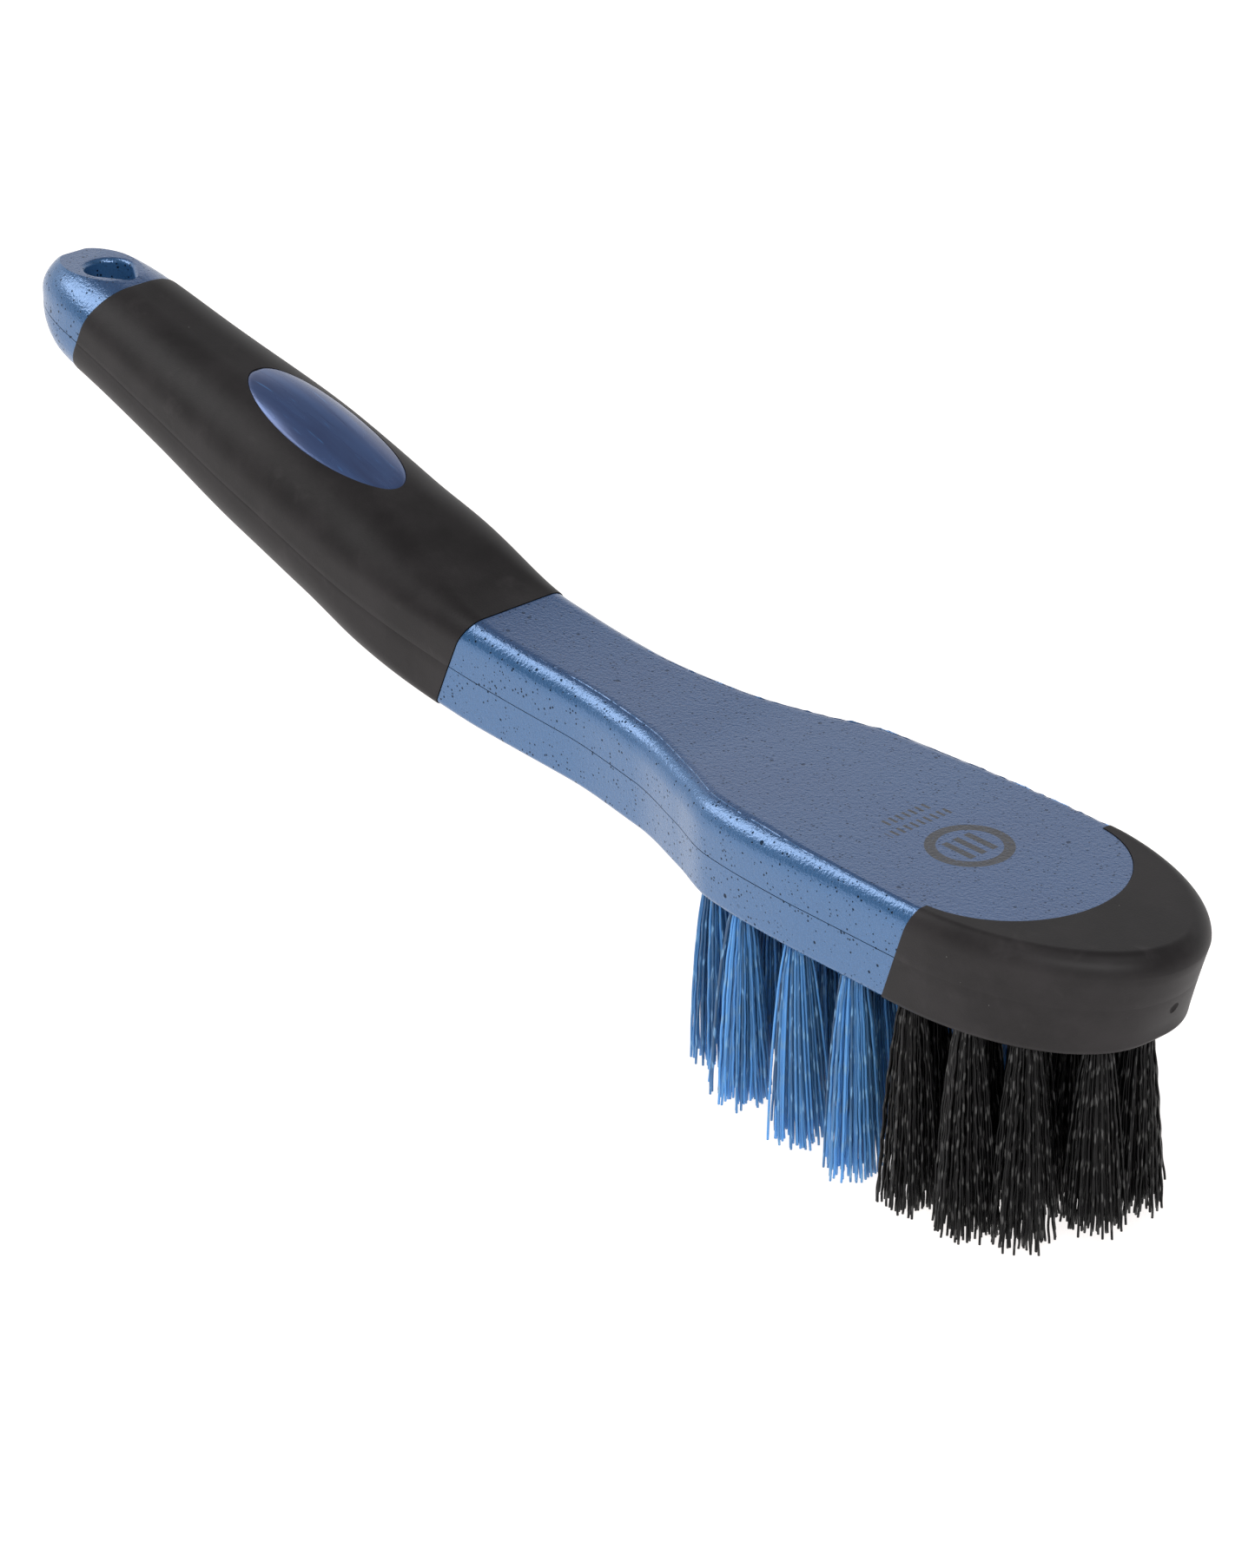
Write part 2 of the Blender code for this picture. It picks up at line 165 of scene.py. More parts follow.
# Hang end
FACET_HEIGHT = 41.6
HANG_HOLE_BACK = 350.0
HANG_HOLE_RADIUS = 5.6
HANG_HOLE_TIP_RADIUS = 1.5
HANG_HOLE_TIP_REACH = 7.7
HANG_HOLE_FLARE = 1.2
HANG_COLLAR_WALL = 1.6

# Toe bumper: the junction on the side leans back towards the underside
BUMPER_WALL = 3.0
BUMPER_TOP_WALL = 2.5
BUMPER_JOIN_BACK = 46.8
BUMPER_JOIN_LEAN = 0.37
TONGUE_BACK = 49.0
TONGUE_HALF_LENGTH = 25.0
TONGUE_HALF_WIDTH = 25.5
GATE_MIDDLE = (3.5, 2.0, -16.0)
GATE_RADII = (1.2, 1.5, 1.7)

# Tufts
TUFT_HOLE_RADIUS = 2.4
TUFT_HOLE_DEPTH = 15.0
TUFT_RADIUS = 2.1
TUFT_DEPTH = 12.4
BRISTLE_LENGTH = BLOCK_TOP - BLOCK_THICKNESS
TUFT_LEAN = 1.2
HEEL_TRIM_START = 55.0
HEEL_TRIM_CURVE = 0.00156
TOE_TRIM_START = 32.0
TOE_TRIM_CURVE = 0.022

STRAY_CHANCE = 0.05
SHORT_CHANCE = 0.08
BLUE_PITCH_SHARE = 1.25
BLUE_CRIMP_SHARE = 0.7
# Colours of the painted glints along the filaments
BLUE_GLINT = (0.18, 0.38, 0.62, 1.0)
BLACK_GLINT = (0.075, 0.074, 0.073, 1.0)

# Printed mark
MARK_BACK = 59.5
MARK_ACROSS = -0.5
RING_RADIUS = 8.2
RING_HALF_WIDTH = 1.2
BAR_HALF_LENGTH = 4.3
BAR_HALF_WIDTH = 0.85
BAR_SPACING = 3.2
STROKE_PITCH = 0.95
STROKE_HALF_LENGTH = 1.3
STROKE_ROWS = ((-14.2, 9.0, -0.4), (-18.6, 6.8, 0.0))
PRINT_SOFTNESS = 0.1

# How finely the shapes are divided
RIM_SHARES = (0.0, 0.05, 0.09, 0.12, 0.14, 0.16, 0.19, 0.23, *np.linspace(0.28, 1.0, 14))
RIDGE_ROW = 4
BOTTOM_ARC_STEPS = 9
TOE_STEPS = 44
HANG_STEPS = 36
STATION_STEP = 1.2
EDGE_STEPS = 5
SLEEVE_STEPS = 96
WINDOW_STEPS = 128
STRAND_STEPS = 70
FILAMENT_SIDES = 6
SEED = 20


# Settings


class BrushBodySettings(bpy.types.PropertyGroup):
    """The moulded body."""

    pearl: FloatVectorProperty(
        name="Pearl Blue", description="Colour of the plastic", subtype="COLOR", size=4, min=0, max=1,
        default=(0.034, 0.107, 0.243, 1.0),
    )
    ink: FloatVectorProperty(
        name="Print", description="Colour of the printed mark", subtype="COLOR", size=4, min=0, max=1,
        default=(0.014, 0.012, 0.012, 1.0),
    )
    seam: FloatProperty(
        name="Seam Depth", description="Depth of the mould's parting line", unit="LENGTH",
        min=0, max=0.0005, precision=5, default=0.00014,
    )
    ridge: FloatProperty(
        name="Flash Height", description="Height of the ragged flash along the rim", unit="LENGTH",
        min=0, max=0.0003, precision=5, default=0.00016,
    )
    grain: FloatProperty(
        name="Grain", description="Strength of the orange peel", subtype="FACTOR", min=0, max=1, default=0.6
    )


class BrushRubberSettings(bpy.types.PropertyGroup):
    """The rubber sleeve and toe bumper."""

    rubber: FloatVectorProperty(
        name="Rubber", description="Colour of the soft rubber", subtype="COLOR", size=4, min=0, max=1,
        default=(0.020, 0.0180, 0.0188, 1.0),
    )
    proud: FloatProperty(
        name="Proud", description="How far the rubber stands above the plastic", unit="LENGTH",
        min=0, max=0.001, precision=5, default=0.0002,
    )
    edge: FloatProperty(
        name="Edge Round", description="Radius of the rubber's free edges", unit="LENGTH", min=0, max=0.001,
        precision=5, default=0.0005,
    )
    dome: FloatProperty(
        name="Window Dome", description="Height of the window's dome above the sleeve", unit="LENGTH", min=0,
        max=0.003, precision=5, default=0.0013,
    )


class BrushBristleSettings(bpy.types.PropertyGroup):
    """The bristle tufts."""

    blue: FloatVectorProperty(
        name="Blue Bristle", description="Colour of the heel tufts", subtype="COLOR", size=4, min=0, max=1,
        default=(0.068, 0.225, 0.49, 1.0),
    )
    black: FloatVectorProperty(
        name="Black Bristle", description="Colour of the toe tufts", subtype="COLOR", size=4, min=0, max=1,
        default=(0.0018, 0.0018, 0.0020, 1.0),
    )
    thickness: FloatProperty(
        name="Thickness", description="Diameter of one filament", unit="LENGTH",
        min=0.0002, max=0.001, precision=5, default=0.00056,
    )
    count: IntProperty(name="Filaments", description="Filaments in one tuft", min=6, max=140, default=88)
    fan: FloatProperty(
        name="Fan", description="Radius of a tuft at its tips", unit="LENGTH",
        min=0.002, max=0.009, precision=4, default=0.0070,
    )
    crimp: FloatProperty(
        name="Crimp", description="Height of the crimp in a black filament", unit="LENGTH",
        min=0, max=0.001, precision=5, default=0.00010,
    )
    pitch: FloatProperty(
        name="Crimp Pitch", description="Length of one crimp", unit="LENGTH", min=0.002, max=0.02, precision=4,
        default=0.007,
    )
    ragged: FloatProperty(
        name="Ragged Tips", description="How unevenly the tips are cut", unit="LENGTH", min=0, max=0.005,
        precision=4, default=0.0016,
    )


class BrushStageSettings(bpy.types.PropertyGroup):
    """The floor, the lights and the camera."""

    floor: FloatVectorProperty(
        name="Floor", description="Colour of the floor", subtype="COLOR", size=4, min=0, max=1,
        default=(0.42, 0.42, 0.42, 1.0),
    )
    glow: FloatProperty(
        name="Floor Glow", description="Light given off by the floor itself", min=0, max=2, default=0.90
    )
    key: FloatProperty(
        name="Key Light", description="Power of the side softbox", unit="POWER", min=0, default=5.2
    )
    top: FloatProperty(
        name="Top Light", description="Power of the softbox overhead", unit="POWER", min=0, default=2.6
    )
    front: FloatProperty(
        name="Front Light", description="Power of the front softbox", unit="POWER", min=0, default=8.5
    )
    lens: FloatProperty(
        name="Lens", description="Focal length of the camera", unit="CAMERA", min=20, max=300, default=121.1
    )


# Shape of the brush


def smooth_step(value, start, end):
    share = np.clip((value - start) / (end - start), 0.0, 1.0)
    return share * share * (3.0 - 2.0 * share)


class StationCurve:
    """A smooth curve through one column of the stations that never overshoots them."""

    def __init__(self, stations, column):
        self.at = np.array([row[0] for row in stations], float)
        self.value = np.array([row[column] for row in stations], float)
        widths = np.diff(self.at)
        slopes = np.diff(self.value) / widths
        self.slope = np.zeros_like(self.value)
        for i in range(1, len(self.at) - 1):
            before, after = slopes[i - 1], slopes[i]
            if before * after > 0:
                near = 2 * widths[i] + widths[i - 1]
                far = widths[i] + 2 * widths[i - 1]
                self.slope[i] = (near + far) / (near / before + far / after)
        self.slope[-1] = slopes[-1]

    def __call__(self, back):
        back = float(np.clip(back, self.at[0], self.at[-1]))
        i = int(np.clip(np.searchsorted(self.at, back) - 1, 0, len(self.at) - 2))
        width = self.at[i + 1] - self.at[i]
        t = (back - self.at[i]) / width
        rise = t * t * (3 - 2 * t)
        start = t * (1 - t) ** 2 * width
        end = -t * t * (1 - t) * width
        value = self.value[i] * (1 - rise) + self.value[i + 1] * rise
        return value + self.slope[i] * start + self.slope[i + 1] * end


HALF_WIDTH = StationCurve(BODY_STATIONS, 1)
TOP = StationCurve(BODY_STATIONS, 2)
BOTTOM = StationCurve(BODY_STATIONS, 3)
RIM_INSET = StationCurve(RIM_STATIONS, 1)
RIM_FALL = StationCurve(RIM_STATIONS, 2)


def end_round(back, length):
    """How far the hang end has closed in at this point: 1 before the round, 0 at the tip."""
    share = np.clip((back - LENGTH + length) / length, 0.0, 1.0)
    return math.sqrt(max(0.0, 1.0 - share**HANG_ROUND_POWER))


def half_width_at(back):
    if back < TOE_ROUND_LENGTH:
        share = 1.0 - max(back, 0.0) / TOE_ROUND_LENGTH
        return BLOCK_HALF_WIDTH * math.sqrt(max(0.0, 1.0 - share * share))
    return HALF_WIDTH(back) * end_round(back, HANG_ROUND_LENGTH)


def heights_at(back):
    top, bottom = TOP(back), BOTTOM(back)
    middle, half = (top + bottom) / 2, (top - bottom) / 2
    half *= max(end_round(back, HANG_PROFILE_ROUND_LENGTH), HANG_LEAST_SHARE)
    return middle + half, middle - half


def lean_share(back):
    """How much a section leans with the rising handle: fully on the grip, not on the head and the very end."""
    start = smooth_step(back, GRIP_LEAN_START, GRIP_FRONT)
    end = 1 - smooth_step(back, GRIP_REAR, LENGTH - 4)
    return start * end


def inward(back):
    """The direction into the body, in plan, at the side: (back, across). It is square to X on the grip."""
    if back <= 0:
        return 1.0, 0.0
    if back >= LENGTH:
        return -1.0, 0.0
    step = min(0.2, back / 2, (LENGTH - back) / 2)
    run = 2 * step
    rise = half_width_at(back + step) - half_width_at(back - step)
    along = rise / math.hypot(run, rise) * (1 - lean_share(back))
    return along, -math.sqrt(1 - along * along)


SEAM_ROWS = (len(RIM_SHARES) + 2, len(RIM_SHARES) + 3)


def crease_at(back):
    """How sharply the flat top meets the rim: a slight crease on the block, none on the toe and the neck."""
    return smooth_step(back, *CREASE_STARTS) * (1 - smooth_step(back, *CREASE_ENDS))


def edge_profile(back, half_width, thickness, ridge, seam):
    """The side of the section from its top edge to its bottom edge: (inset, height share) pairs."""
    grip = smooth_step(back, GRIP_ROUND_START, GRIP_ROUND_FULL)
    round_width = GRIP_ROUND_WIDTH_SHARE * half_width
    top_in = RIM_INSET(back) * (1 - grip) + round_width * grip
    top_drop = RIM_FALL(back) * (1 - grip) + GRIP_ROUND_TOP_SHARE * thickness / 2 * grip
    low_in = BOTTOM_EDGE_RADIUS * (1 - grip) + round_width * grip
    low_rise = BOTTOM_EDGE_RADIUS * (1 - grip) + GRIP_ROUND_BOTTOM_SHARE * thickness / 2 * grip
    if back > TOE_ROUND_LENGTH:
        top_in = min(top_in, EDGE_LIMIT_SHARE * half_width)
        low_in = min(low_in, EDGE_LIMIT_SHARE * half_width)
    along, across = inward(back)
    draft = SIDE_DRAFT * (1 - grip)
    if back < TOE_ROUND_LENGTH:
        draft = SIDE_DRAFT * across**2 + TOE_DRAFT * along**2
    pairs = []
    start = math.pi / 2 - CREASE_TURN * crease_at(back)
    for row, share in enumerate(RIM_SHARES):
        turn = start * (1 - share)
        lift = ridge if row == RIDGE_ROW else 0.0
        inset = top_in * (1 - math.cos(turn)) / (1 - math.cos(start)) - lift * math.cos(turn)
        drop = top_drop * (1 - math.sin(turn) / math.sin(start)) - lift * math.sin(turn)
        pairs.append((inset, 1 - drop / thickness))
    high, low = 1 - top_drop / thickness, low_rise / thickness
    half_seam = SEAM_HALF_WIDTH / thickness
    for share, depth in (
        (high + (SEAM_SHARE - high) * 0.3, 0.0),
        (high + (SEAM_SHARE - high) * 0.7, 0.0),
        (SEAM_SHARE + half_seam, 0.0),
        (SEAM_SHARE, seam),
        (SEAM_SHARE - half_seam, 0.0),
        (low + (SEAM_SHARE - low) * 0.7, 0.0),
        (low + (SEAM_SHARE - low) * 0.3, 0.0),
    ):
        pairs.append((draft * (high - share) / (high - low) + depth, share))
    for i in range(BOTTOM_ARC_STEPS + 1):
        turn = math.pi / 2 * i / BOTTOM_ARC_STEPS
        pairs.append((draft + low_in * (1 - math.cos(turn)), low_rise * (1 - math.sin(turn)) / thickness))
    return pairs


FLAT_SHARES = (0.25, 0.5, 0.75)
RIM_SUPPORT = 0.3


def flat_row(edge):
    """Points across the flat from one edge of the section towards its middle."""
    back, out, height = edge
    near = max(out - RIM_SUPPORT, out * 0.9)
    return [(back, near, height), *((back, near * (1 - share), height) for share in FLAT_SHARES)]


def ring_at(back, shrink=0.0, ridge=0.0, seam=0.0):
    """One closed section of the body's outside, or of a core that many millimetres inside it."""
    top, bottom = heights_at(back)
    thickness = top - bottom
    half_width = half_width_at(back)
    along, across = inward(back)
    lean = GRIP_LEAN * lean_share(back)
    side = []
    for inset, share in edge_profile(back, half_width, thickness, ridge, seam):
        here = back + along * (inset + shrink) + lean * (0.5 - share) * (thickness - 2 * shrink)
        high, low = heights_at(here)
        scale = 1 - 2 * shrink / (high - low)
        height = (high + low) / 2 + (share - 0.5) * (high - low) * scale
        out = half_width + across * (inset + shrink * (half_width - inset) / max(half_width, 0.1))
        side.append((here, max(out, 0.0), height))
    half = [*reversed(flat_row(side[0])), *side, *flat_row(side[-1])]
    top_middle = (side[0][0], 0.0, side[0][2])
    low_middle = (side[-1][0], 0.0, side[-1][2])
    right = [(back_, -out, height) for back_, out, height in half]
    left = [(back_, out, height) for back_, out, height in reversed(half)]
    return [top_middle, *right, low_middle, *left]


HALF_COUNT = len(FLAT_SHARES) * 2 + 2 + len(RIM_SHARES) + 7 + BOTTOM_ARC_STEPS + 1
SEAM_FACES = {len(FLAT_SHARES) + 2 + row for row in SEAM_ROWS}
SEAM_FACES |= {2 * HALF_COUNT + 1 - face for face in SEAM_FACES}


def place(back, across, height):
    """A point in the world from a point of the shape."""
    return Vector((TOE_X - back, across, height + BLOCK_TOP)) * MM


# Mesh helpers


def link(name, shape):
    mesh = bpy.data.meshes.new(name)
    shape.to_mesh(mesh)
    shape.free()
    obj = bpy.data.objects.new(name, mesh)
    bpy.context.scene.collection.objects.link(obj)
    return obj


def tidy_shape(shape):
    bmesh.ops.remove_doubles(shape, verts=shape.verts, dist=0.001 * MM)
    bmesh.ops.dissolve_degenerate(shape, edges=shape.edges, dist=0.001 * MM)
    bmesh.ops.recalc_face_normals(shape, faces=shape.faces)


def skin(rings, join_ends=False, seams=False):
    """A closed shape through the rings: capped at both ends, or joined end to start."""
    shape = bmesh.new()
    rows = [[shape.verts.new(place(*point)) for point in ring] for ring in rings]
    count = len(rows[0])
    pairs = list(zip(rows, rows[1:]))
    if join_ends:
        pairs.append((rows[-1], rows[0]))
    for first, second in pairs:
        for i in range(count):
            j = (i + 1) % count
            face = shape.faces.new((first[i], first[j], second[j], second[i]))
            if seams and i in SEAM_FACES:
                face.material_index = 1
    if not join_ends:
        shape.faces.new(rows[0])
        shape.faces.new(reversed(rows[-1]))
    tidy_shape(shape)
    return shape


def loft(layers):
    """A closed shape through plan outlines of (back, across) points, each at its height."""
    return skin([[(*point, height) for point in outline] for outline, height in layers])


def prism(outline, low, high):
    return loft([(outline, low), (outline, high)])


def ellipse(back, half_length, half_width, steps, across=0.0):
    turns = [2 * math.pi * i / steps for i in range(steps)]
    return [(back + half_length * math.cos(turn), across + half_width * math.sin(turn)) for turn in turns]


def combine(obj, other, operation):
    """Cuts, joins or keeps obj with another shape, which is used up."""
    modifier = obj.modifiers.new("combine", "BOOLEAN")
    modifier.object = other
    modifier.operation = operation
    modifier.solver = "EXACT"
    settle(obj)
    bpy.data.meshes.remove(other.data)


def settle(obj):
    """Makes the modifiers part of the mesh."""
    bpy.context.view_layer.update()
    made = bpy.data.meshes.new_from_object(obj.evaluated_get(bpy.context.evaluated_depsgraph_get()))
    obj.modifiers.clear()
    old, obj.data = obj.data, made
    bpy.data.meshes.remove(old)


def shade(obj, degrees=32):
    obj.data.polygons.foreach_set("use_smooth", [True] * len(obj.data.polygons))
    obj.data.set_sharp_from_angle(angle=math.radians(degrees))


def paint(obj, materials):
    for material in materials:
        obj.data.materials.append(material)


def fit_out(obj, materials, nodes):
    """Gives a piece its finish and puts it in the frame in place of the CAD nodes."""
    if not obj.data.materials:
        paint(obj, materials)
    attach(obj, BODY)
    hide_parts(*nodes)


# Finishes


class Wire:
    """A socket that can be used in sums, so that the maths of a finish reads as maths."""

    def __init__(self, finish, socket):
        self.finish = finish
        self.socket = socket

    def out(self, name):
        """Another output of the same node."""
        return Wire(self.finish, self.socket.node.outputs[name])

    def maths(self, operation, first, second=0.0):
        return self.finish.maths(operation, first, second)

    def __add__(self, other):
        return self.maths("ADD", self, other)

    def __sub__(self, other):
        return self.maths("SUBTRACT", self, other)

    def __rsub__(self, other):
        return self.maths("SUBTRACT", other, self)

    def __mul__(self, other):
        return self.maths("MULTIPLY", self, other)

    def __truediv__(self, other):
        return self.maths("DIVIDE", self, other)

    def __pow__(self, other):
        return self.maths("POWER", self, other)

    def __abs__(self):
        return self.maths("ABSOLUTE", self)

    def most(self, other):
        return self.maths("MAXIMUM", self, other)

    __radd__ = __add__
    __rmul__ = __mul__


class Finish:
    """A node tree that is built in Python expressions."""

    def __init__(self, owner):
        owner.use_nodes = True
        self.tree = owner.node_tree

    def node(self, kind, settings=None, values=None, output=0):
        made = self.tree.nodes.new(kind)
        for name, value in (settings or {}).items():
            setattr(made, name, value)
        for name, value in (values or {}).items():
            self.set(made.inputs[name], value)
        return Wire(self, made.outputs[output])

    def set(self, socket, value):
        if isinstance(value, Wire):
            self.tree.links.new(value.socket, socket)
        else:
            socket.default_value = value

    def maths(self, operation, first, second=0.0):
        return self.node("ShaderNodeMath", {"operation": operation}, {0: first, 1: second})

    def place(self):
        return self.node("ShaderNodeTexCoord").out("Object")

    def axes(self, vector):
        parts = self.node("ShaderNodeSeparateXYZ", values={"Vector": vector})
        return parts, parts.out("Y"), parts.out("Z")

    def stretch(self, vector, scale):
        return self.node("ShaderNodeVectorMath", {"operation": "MULTIPLY"}, {0: vector, 1: scale})

    def noise(self, vector, size, detail=2.0, rough=0.5, bend=0.0):
        """Soft noise whose features are about that many millimetres."""
        values = {"Vector": vector, "Scale": 1 / (size * MM), "Detail": detail}
        values |= {"Roughness": rough, "Distortion": bend}
        return self.node("ShaderNodeTexNoise", {"normalize": True}, values)

    def rise(self, value, low, high, start=0.0, end=1.0):
        """0 below low, 1 above high, and smooth between."""
        values = {"Value": value, "From Min": low, "From Max": high, "To Min": start, "To Max": end}
        return self.node("ShaderNodeMapRange", {"interpolation_type": "SMOOTHSTEP"}, values)

    def fall(self, value, low, high):
        """1 below low, 0 above high, and smooth between."""
        return self.rise(value, low, high, 1.0, 0.0)

    def specks(self, vector, spacing, radius, kept):
        """Small round specks, one in each cell that is kept, with sizes that vary."""
        cells = self.node("ShaderNodeTexVoronoi", values={"Vector": vector, "Scale": 1 / (spacing * MM)})
        chance, size, _ = self.axes(cells.out("Color"))
        reach = radius / spacing * (0.5 + size)
        inside = self.rise(reach - cells.out("Distance"), 0.0, 0.4 * radius / spacing)
        return inside * self.fall(chance, kept, kept + 0.01)

    def blend(self, amount, first, second):
        """A colour between two."""
        return self.node("ShaderNodeMix", {"data_type": "RGBA"}, {0: amount, 6: first, 7: second}, output=2)

    def bump(self, height, depth, strength=1.0):
        """A normal from a height, where a height of 1 stands that many millimetres proud."""
        values = {"Height": height, "Distance": depth * MM, "Strength": strength}
        return self.node("ShaderNodeBump", values=values)


class Surface(Finish):
    """A material on Blender's own principled shader."""

    def __init__(self, name, **sockets):
        self.material = bpy.data.materials.new(name)
        super().__init__(self.material)
        self.shader = self.tree.nodes["Principled BSDF"]
        self.wear(**sockets)

    def wear(self, **sockets):
        for name, value in sockets.items():
            self.set(self.shader.inputs[name.replace("_", " ").title().replace("Ior", "IOR")], value)


def tinted(colour, red, rest):
    """The same colour with its red scaled apart from its green and blue."""
    return (min(1.0, colour[0] * red), min(1.0, colour[1] * rest), min(1.0, colour[2] * rest), 1.0)


def scaled(colour, by):
    return (*(min(1.0, channel * by) for channel in colour[:3]), 1.0)


def ink_mask(finish, vector):
    """The printed mark on the block: a plain ring round three bars, and two rows of plain strokes beside it."""
    x, y, z = finish.axes(vector)
    u = x / MM - (TOE_X - MARK_BACK)
    v = y / MM - MARK_ACROSS

    def within(distance, reach):
        return finish.fall(abs(distance), reach - PRINT_SOFTNESS, reach + PRINT_SOFTNESS)

    ring = within((u * u + v * v) ** 0.5 - RING_RADIUS, RING_HALF_WIDTH)
    bars = sum(within(v - across, BAR_HALF_WIDTH) for across in (0.0, -BAR_SPACING, BAR_SPACING))
    bars = within(u, BAR_HALF_LENGTH) * bars
    strokes = finish.fall(finish.maths("PINGPONG", v, STROKE_PITCH), 0.30, 0.42)
    rows = sum(
        within(u - along, STROKE_HALF_LENGTH) * within(v - middle, half)
        for along, half, middle in STROKE_ROWS
    )
    worn = finish.rise(finish.noise(vector, 0.5, 3.0), 0.28, 0.40)
    level = finish.rise(z / MM, BLOCK_TOP - 0.4, BLOCK_TOP - 0.2)
    return ((ring + bars) * worn + rows * strokes) * level


def pearl_plastic(settings):
    """Blue plastic with pearl in it: orange peel, small pits, soft clouds of colour, the printed mark, and a
    painted sheen that turns up-facing surfaces a redder, greyer blue.
    """
    finish = Surface("pearl_blue_plastic", metallic=0.35, ior=1.8)
    vector = finish.place()
    clouds = finish.noise(vector, 38.0, 2.0)
    flake = finish.noise(vector, 0.22, 1.0)
    pits = finish.specks(vector, 0.95, 0.23, 0.5).most(finish.specks(vector, 4.0, 0.42, 0.6))
    ink = ink_mask(finish, vector)
    # Painted sheen: faces that point up get a redder, greyer blue, broken up by the clouds. It stands in for
    # the lavender reflection the top catches from the room.
    _, _, facing = finish.axes(finish.node("ShaderNodeNewGeometry").out("Normal"))
    level = finish.rise(facing, 0.8, 0.97) * (0.55 + clouds * 0.6)
    pits = pits * (1.0 - ink) * (1.0 - level * 0.5)
    colour = finish.blend(level, scaled(settings.pearl, 1.08), tinted(settings.pearl, 1.48, 0.80))
    colour = finish.blend(finish.rise(flake, 0.3, 0.8) * 0.4, colour, scaled(settings.pearl, 1.9))
    colour = finish.blend(pits * 0.9, colour, scaled(settings.pearl, 0.08))
    colour = finish.blend(ink * 0.92, colour, tuple(settings.ink))
    peel = finish.noise(vector, 0.95, 2.0, 0.45)
    scuffs = finish.noise(finish.stretch(vector, (1.0, 1.0, 0.25)), 2.2, 3.0, 0.6)
    fine = finish.noise(vector, 0.55, 1.0)
    height = peel * settings.grain + fine * 0.7 + scuffs * 0.12 - pits * 0.25
    roughness = 0.22 + clouds * 0.06 + ink * 0.12 + pits * 0.2
    finish.wear(base_color=colour, roughness=roughness, metallic=0.35 - ink * 0.35 + pits * 0.6)
    finish.wear(normal=finish.bump(height, 0.10))
    return finish.material


def seam_grime(settings):
    """The bottom of the parting line, painted dark as shade in the groove."""
    finish = Surface("seam_grime", metallic=0.0, ior=1.1)
    vector = finish.place()
    patches = finish.noise(vector, 3.0, 3.0)
    share = finish.rise(patches, 0.35, 0.65)
    # Painted shade: the groove's faces get a near-black blue, varied in patches.
    colour = finish.blend(share, scaled(settings.pearl, 0.06), scaled(settings.pearl, 0.3))
    finish.wear(base_color=colour, roughness=0.6 + patches * 0.2)
    return finish.material


def lens_plastic(settings):
    """The window's plastic: the same blue, deeper, with long flow marks from the mould."""
    finish = Surface("pearl_blue_window", metallic=0.4, ior=1.6)
    vector = finish.place()
    flow = finish.noise(finish.stretch(vector, (0.10, 1.0, 0.3)), 3.4, 2.0, 0.5)
    fine = finish.noise(finish.stretch(vector, (0.05, 1.0, 0.2)), 0.7, 2.0)
    share = finish.rise(flow, 0.25, 0.8)
    colour = finish.blend(share, tinted(settings.pearl, 1.7, 0.80), tinted(settings.pearl, 2.2, 1.20))
    colour = finish.blend(finish.rise(fine, 0.68, 0.78) * 0.5, colour, scaled(settings.pearl, 3.0))
    height = flow + fine * 0.2
    finish.wear(base_color=colour, roughness=0.22 + flow * 0.1, normal=finish.bump(height, 0.06))
    return finish.material


def soft_rubber(settings):
    """Black rubber: satin, faintly mottled, with a fine grain and specks of dust."""
    finish = Surface("soft_black_rubber", metallic=0.0, ior=1.27)
    vector = finish.place()
    mottle = finish.noise(vector, 16.0, 4.0, 0.6)
    grain = finish.noise(vector, 0.35, 2.0)
    dust = finish.specks(vector, 3.2, 0.10, 0.22).most(finish.specks(vector, 7.0, 0.18, 0.2))
    smear = finish.rise(finish.noise(vector, 9.0, 3.0, 0.6, 0.4), 0.56, 0.8)
    share = finish.rise(mottle, 0.3, 0.7)
    colour = finish.blend(share, scaled(settings.rubber, 0.8), scaled(settings.rubber, 1.25))
    colour = finish.blend(smear * 0.45, colour, scaled(settings.rubber, 2.2))
    colour = finish.blend(dust * 0.7, colour, (0.22, 0.22, 0.21, 1.0))
    finish.wear(base_color=colour, roughness=0.42 + mottle * 0.14 + dust * 0.2)
    finish.wear(normal=finish.bump(grain * 0.6 + mottle * 0.5 + dust, 0.04))
    return finish.material


def bristle_plastic(name, colour, shine, spread, ior, glint, pitch):
    """Extruded filament, each of its own shade, with painted glints in dashes along it, and lighter towards the
    worn tips.
    """
    finish = Surface(name, metallic=0.0, ior=ior)
    vector = finish.place()
    _, _, z = finish.axes(vector)
    shade_of = finish.node("ShaderNodeNewGeometry").out("Random Per Island")
    streak = finish.noise(finish.stretch(vector, (1.0, 1.0, 0.12)), 0.5, 2.0)
    tip = finish.fall(z / MM, 0.0, 22.0)
    tone = finish.blend(shade_of, scaled(colour, 1 - spread), scaled(colour, 1 + spread))
    tone = finish.blend(tip * 0.35, tone, scaled(colour, 1.7))
    patch = finish.noise(finish.stretch(vector, (1.0, 1.0, 0.0)), 5.0, 1.0)
    # Painted glints: light dashes along each filament, in waves of the crimp pitch, stand in for highlights off
    # the crimp.
    phase = z * (2 * math.pi / pitch) + shade_of * 4.5 + patch * 9.0
    glints = finish.rise(finish.maths("SINE", phase), 0.45, 0.95) * finish.rise(streak, 0.42, 0.62)
    tone = finish.blend(glints, tone, glint)
    finish.wear(base_color=tone, roughness=shine + shade_of * 0.12 + streak * 0.06)
    finish.wear(normal=finish.bump(streak, 0.03))
    return finish.material


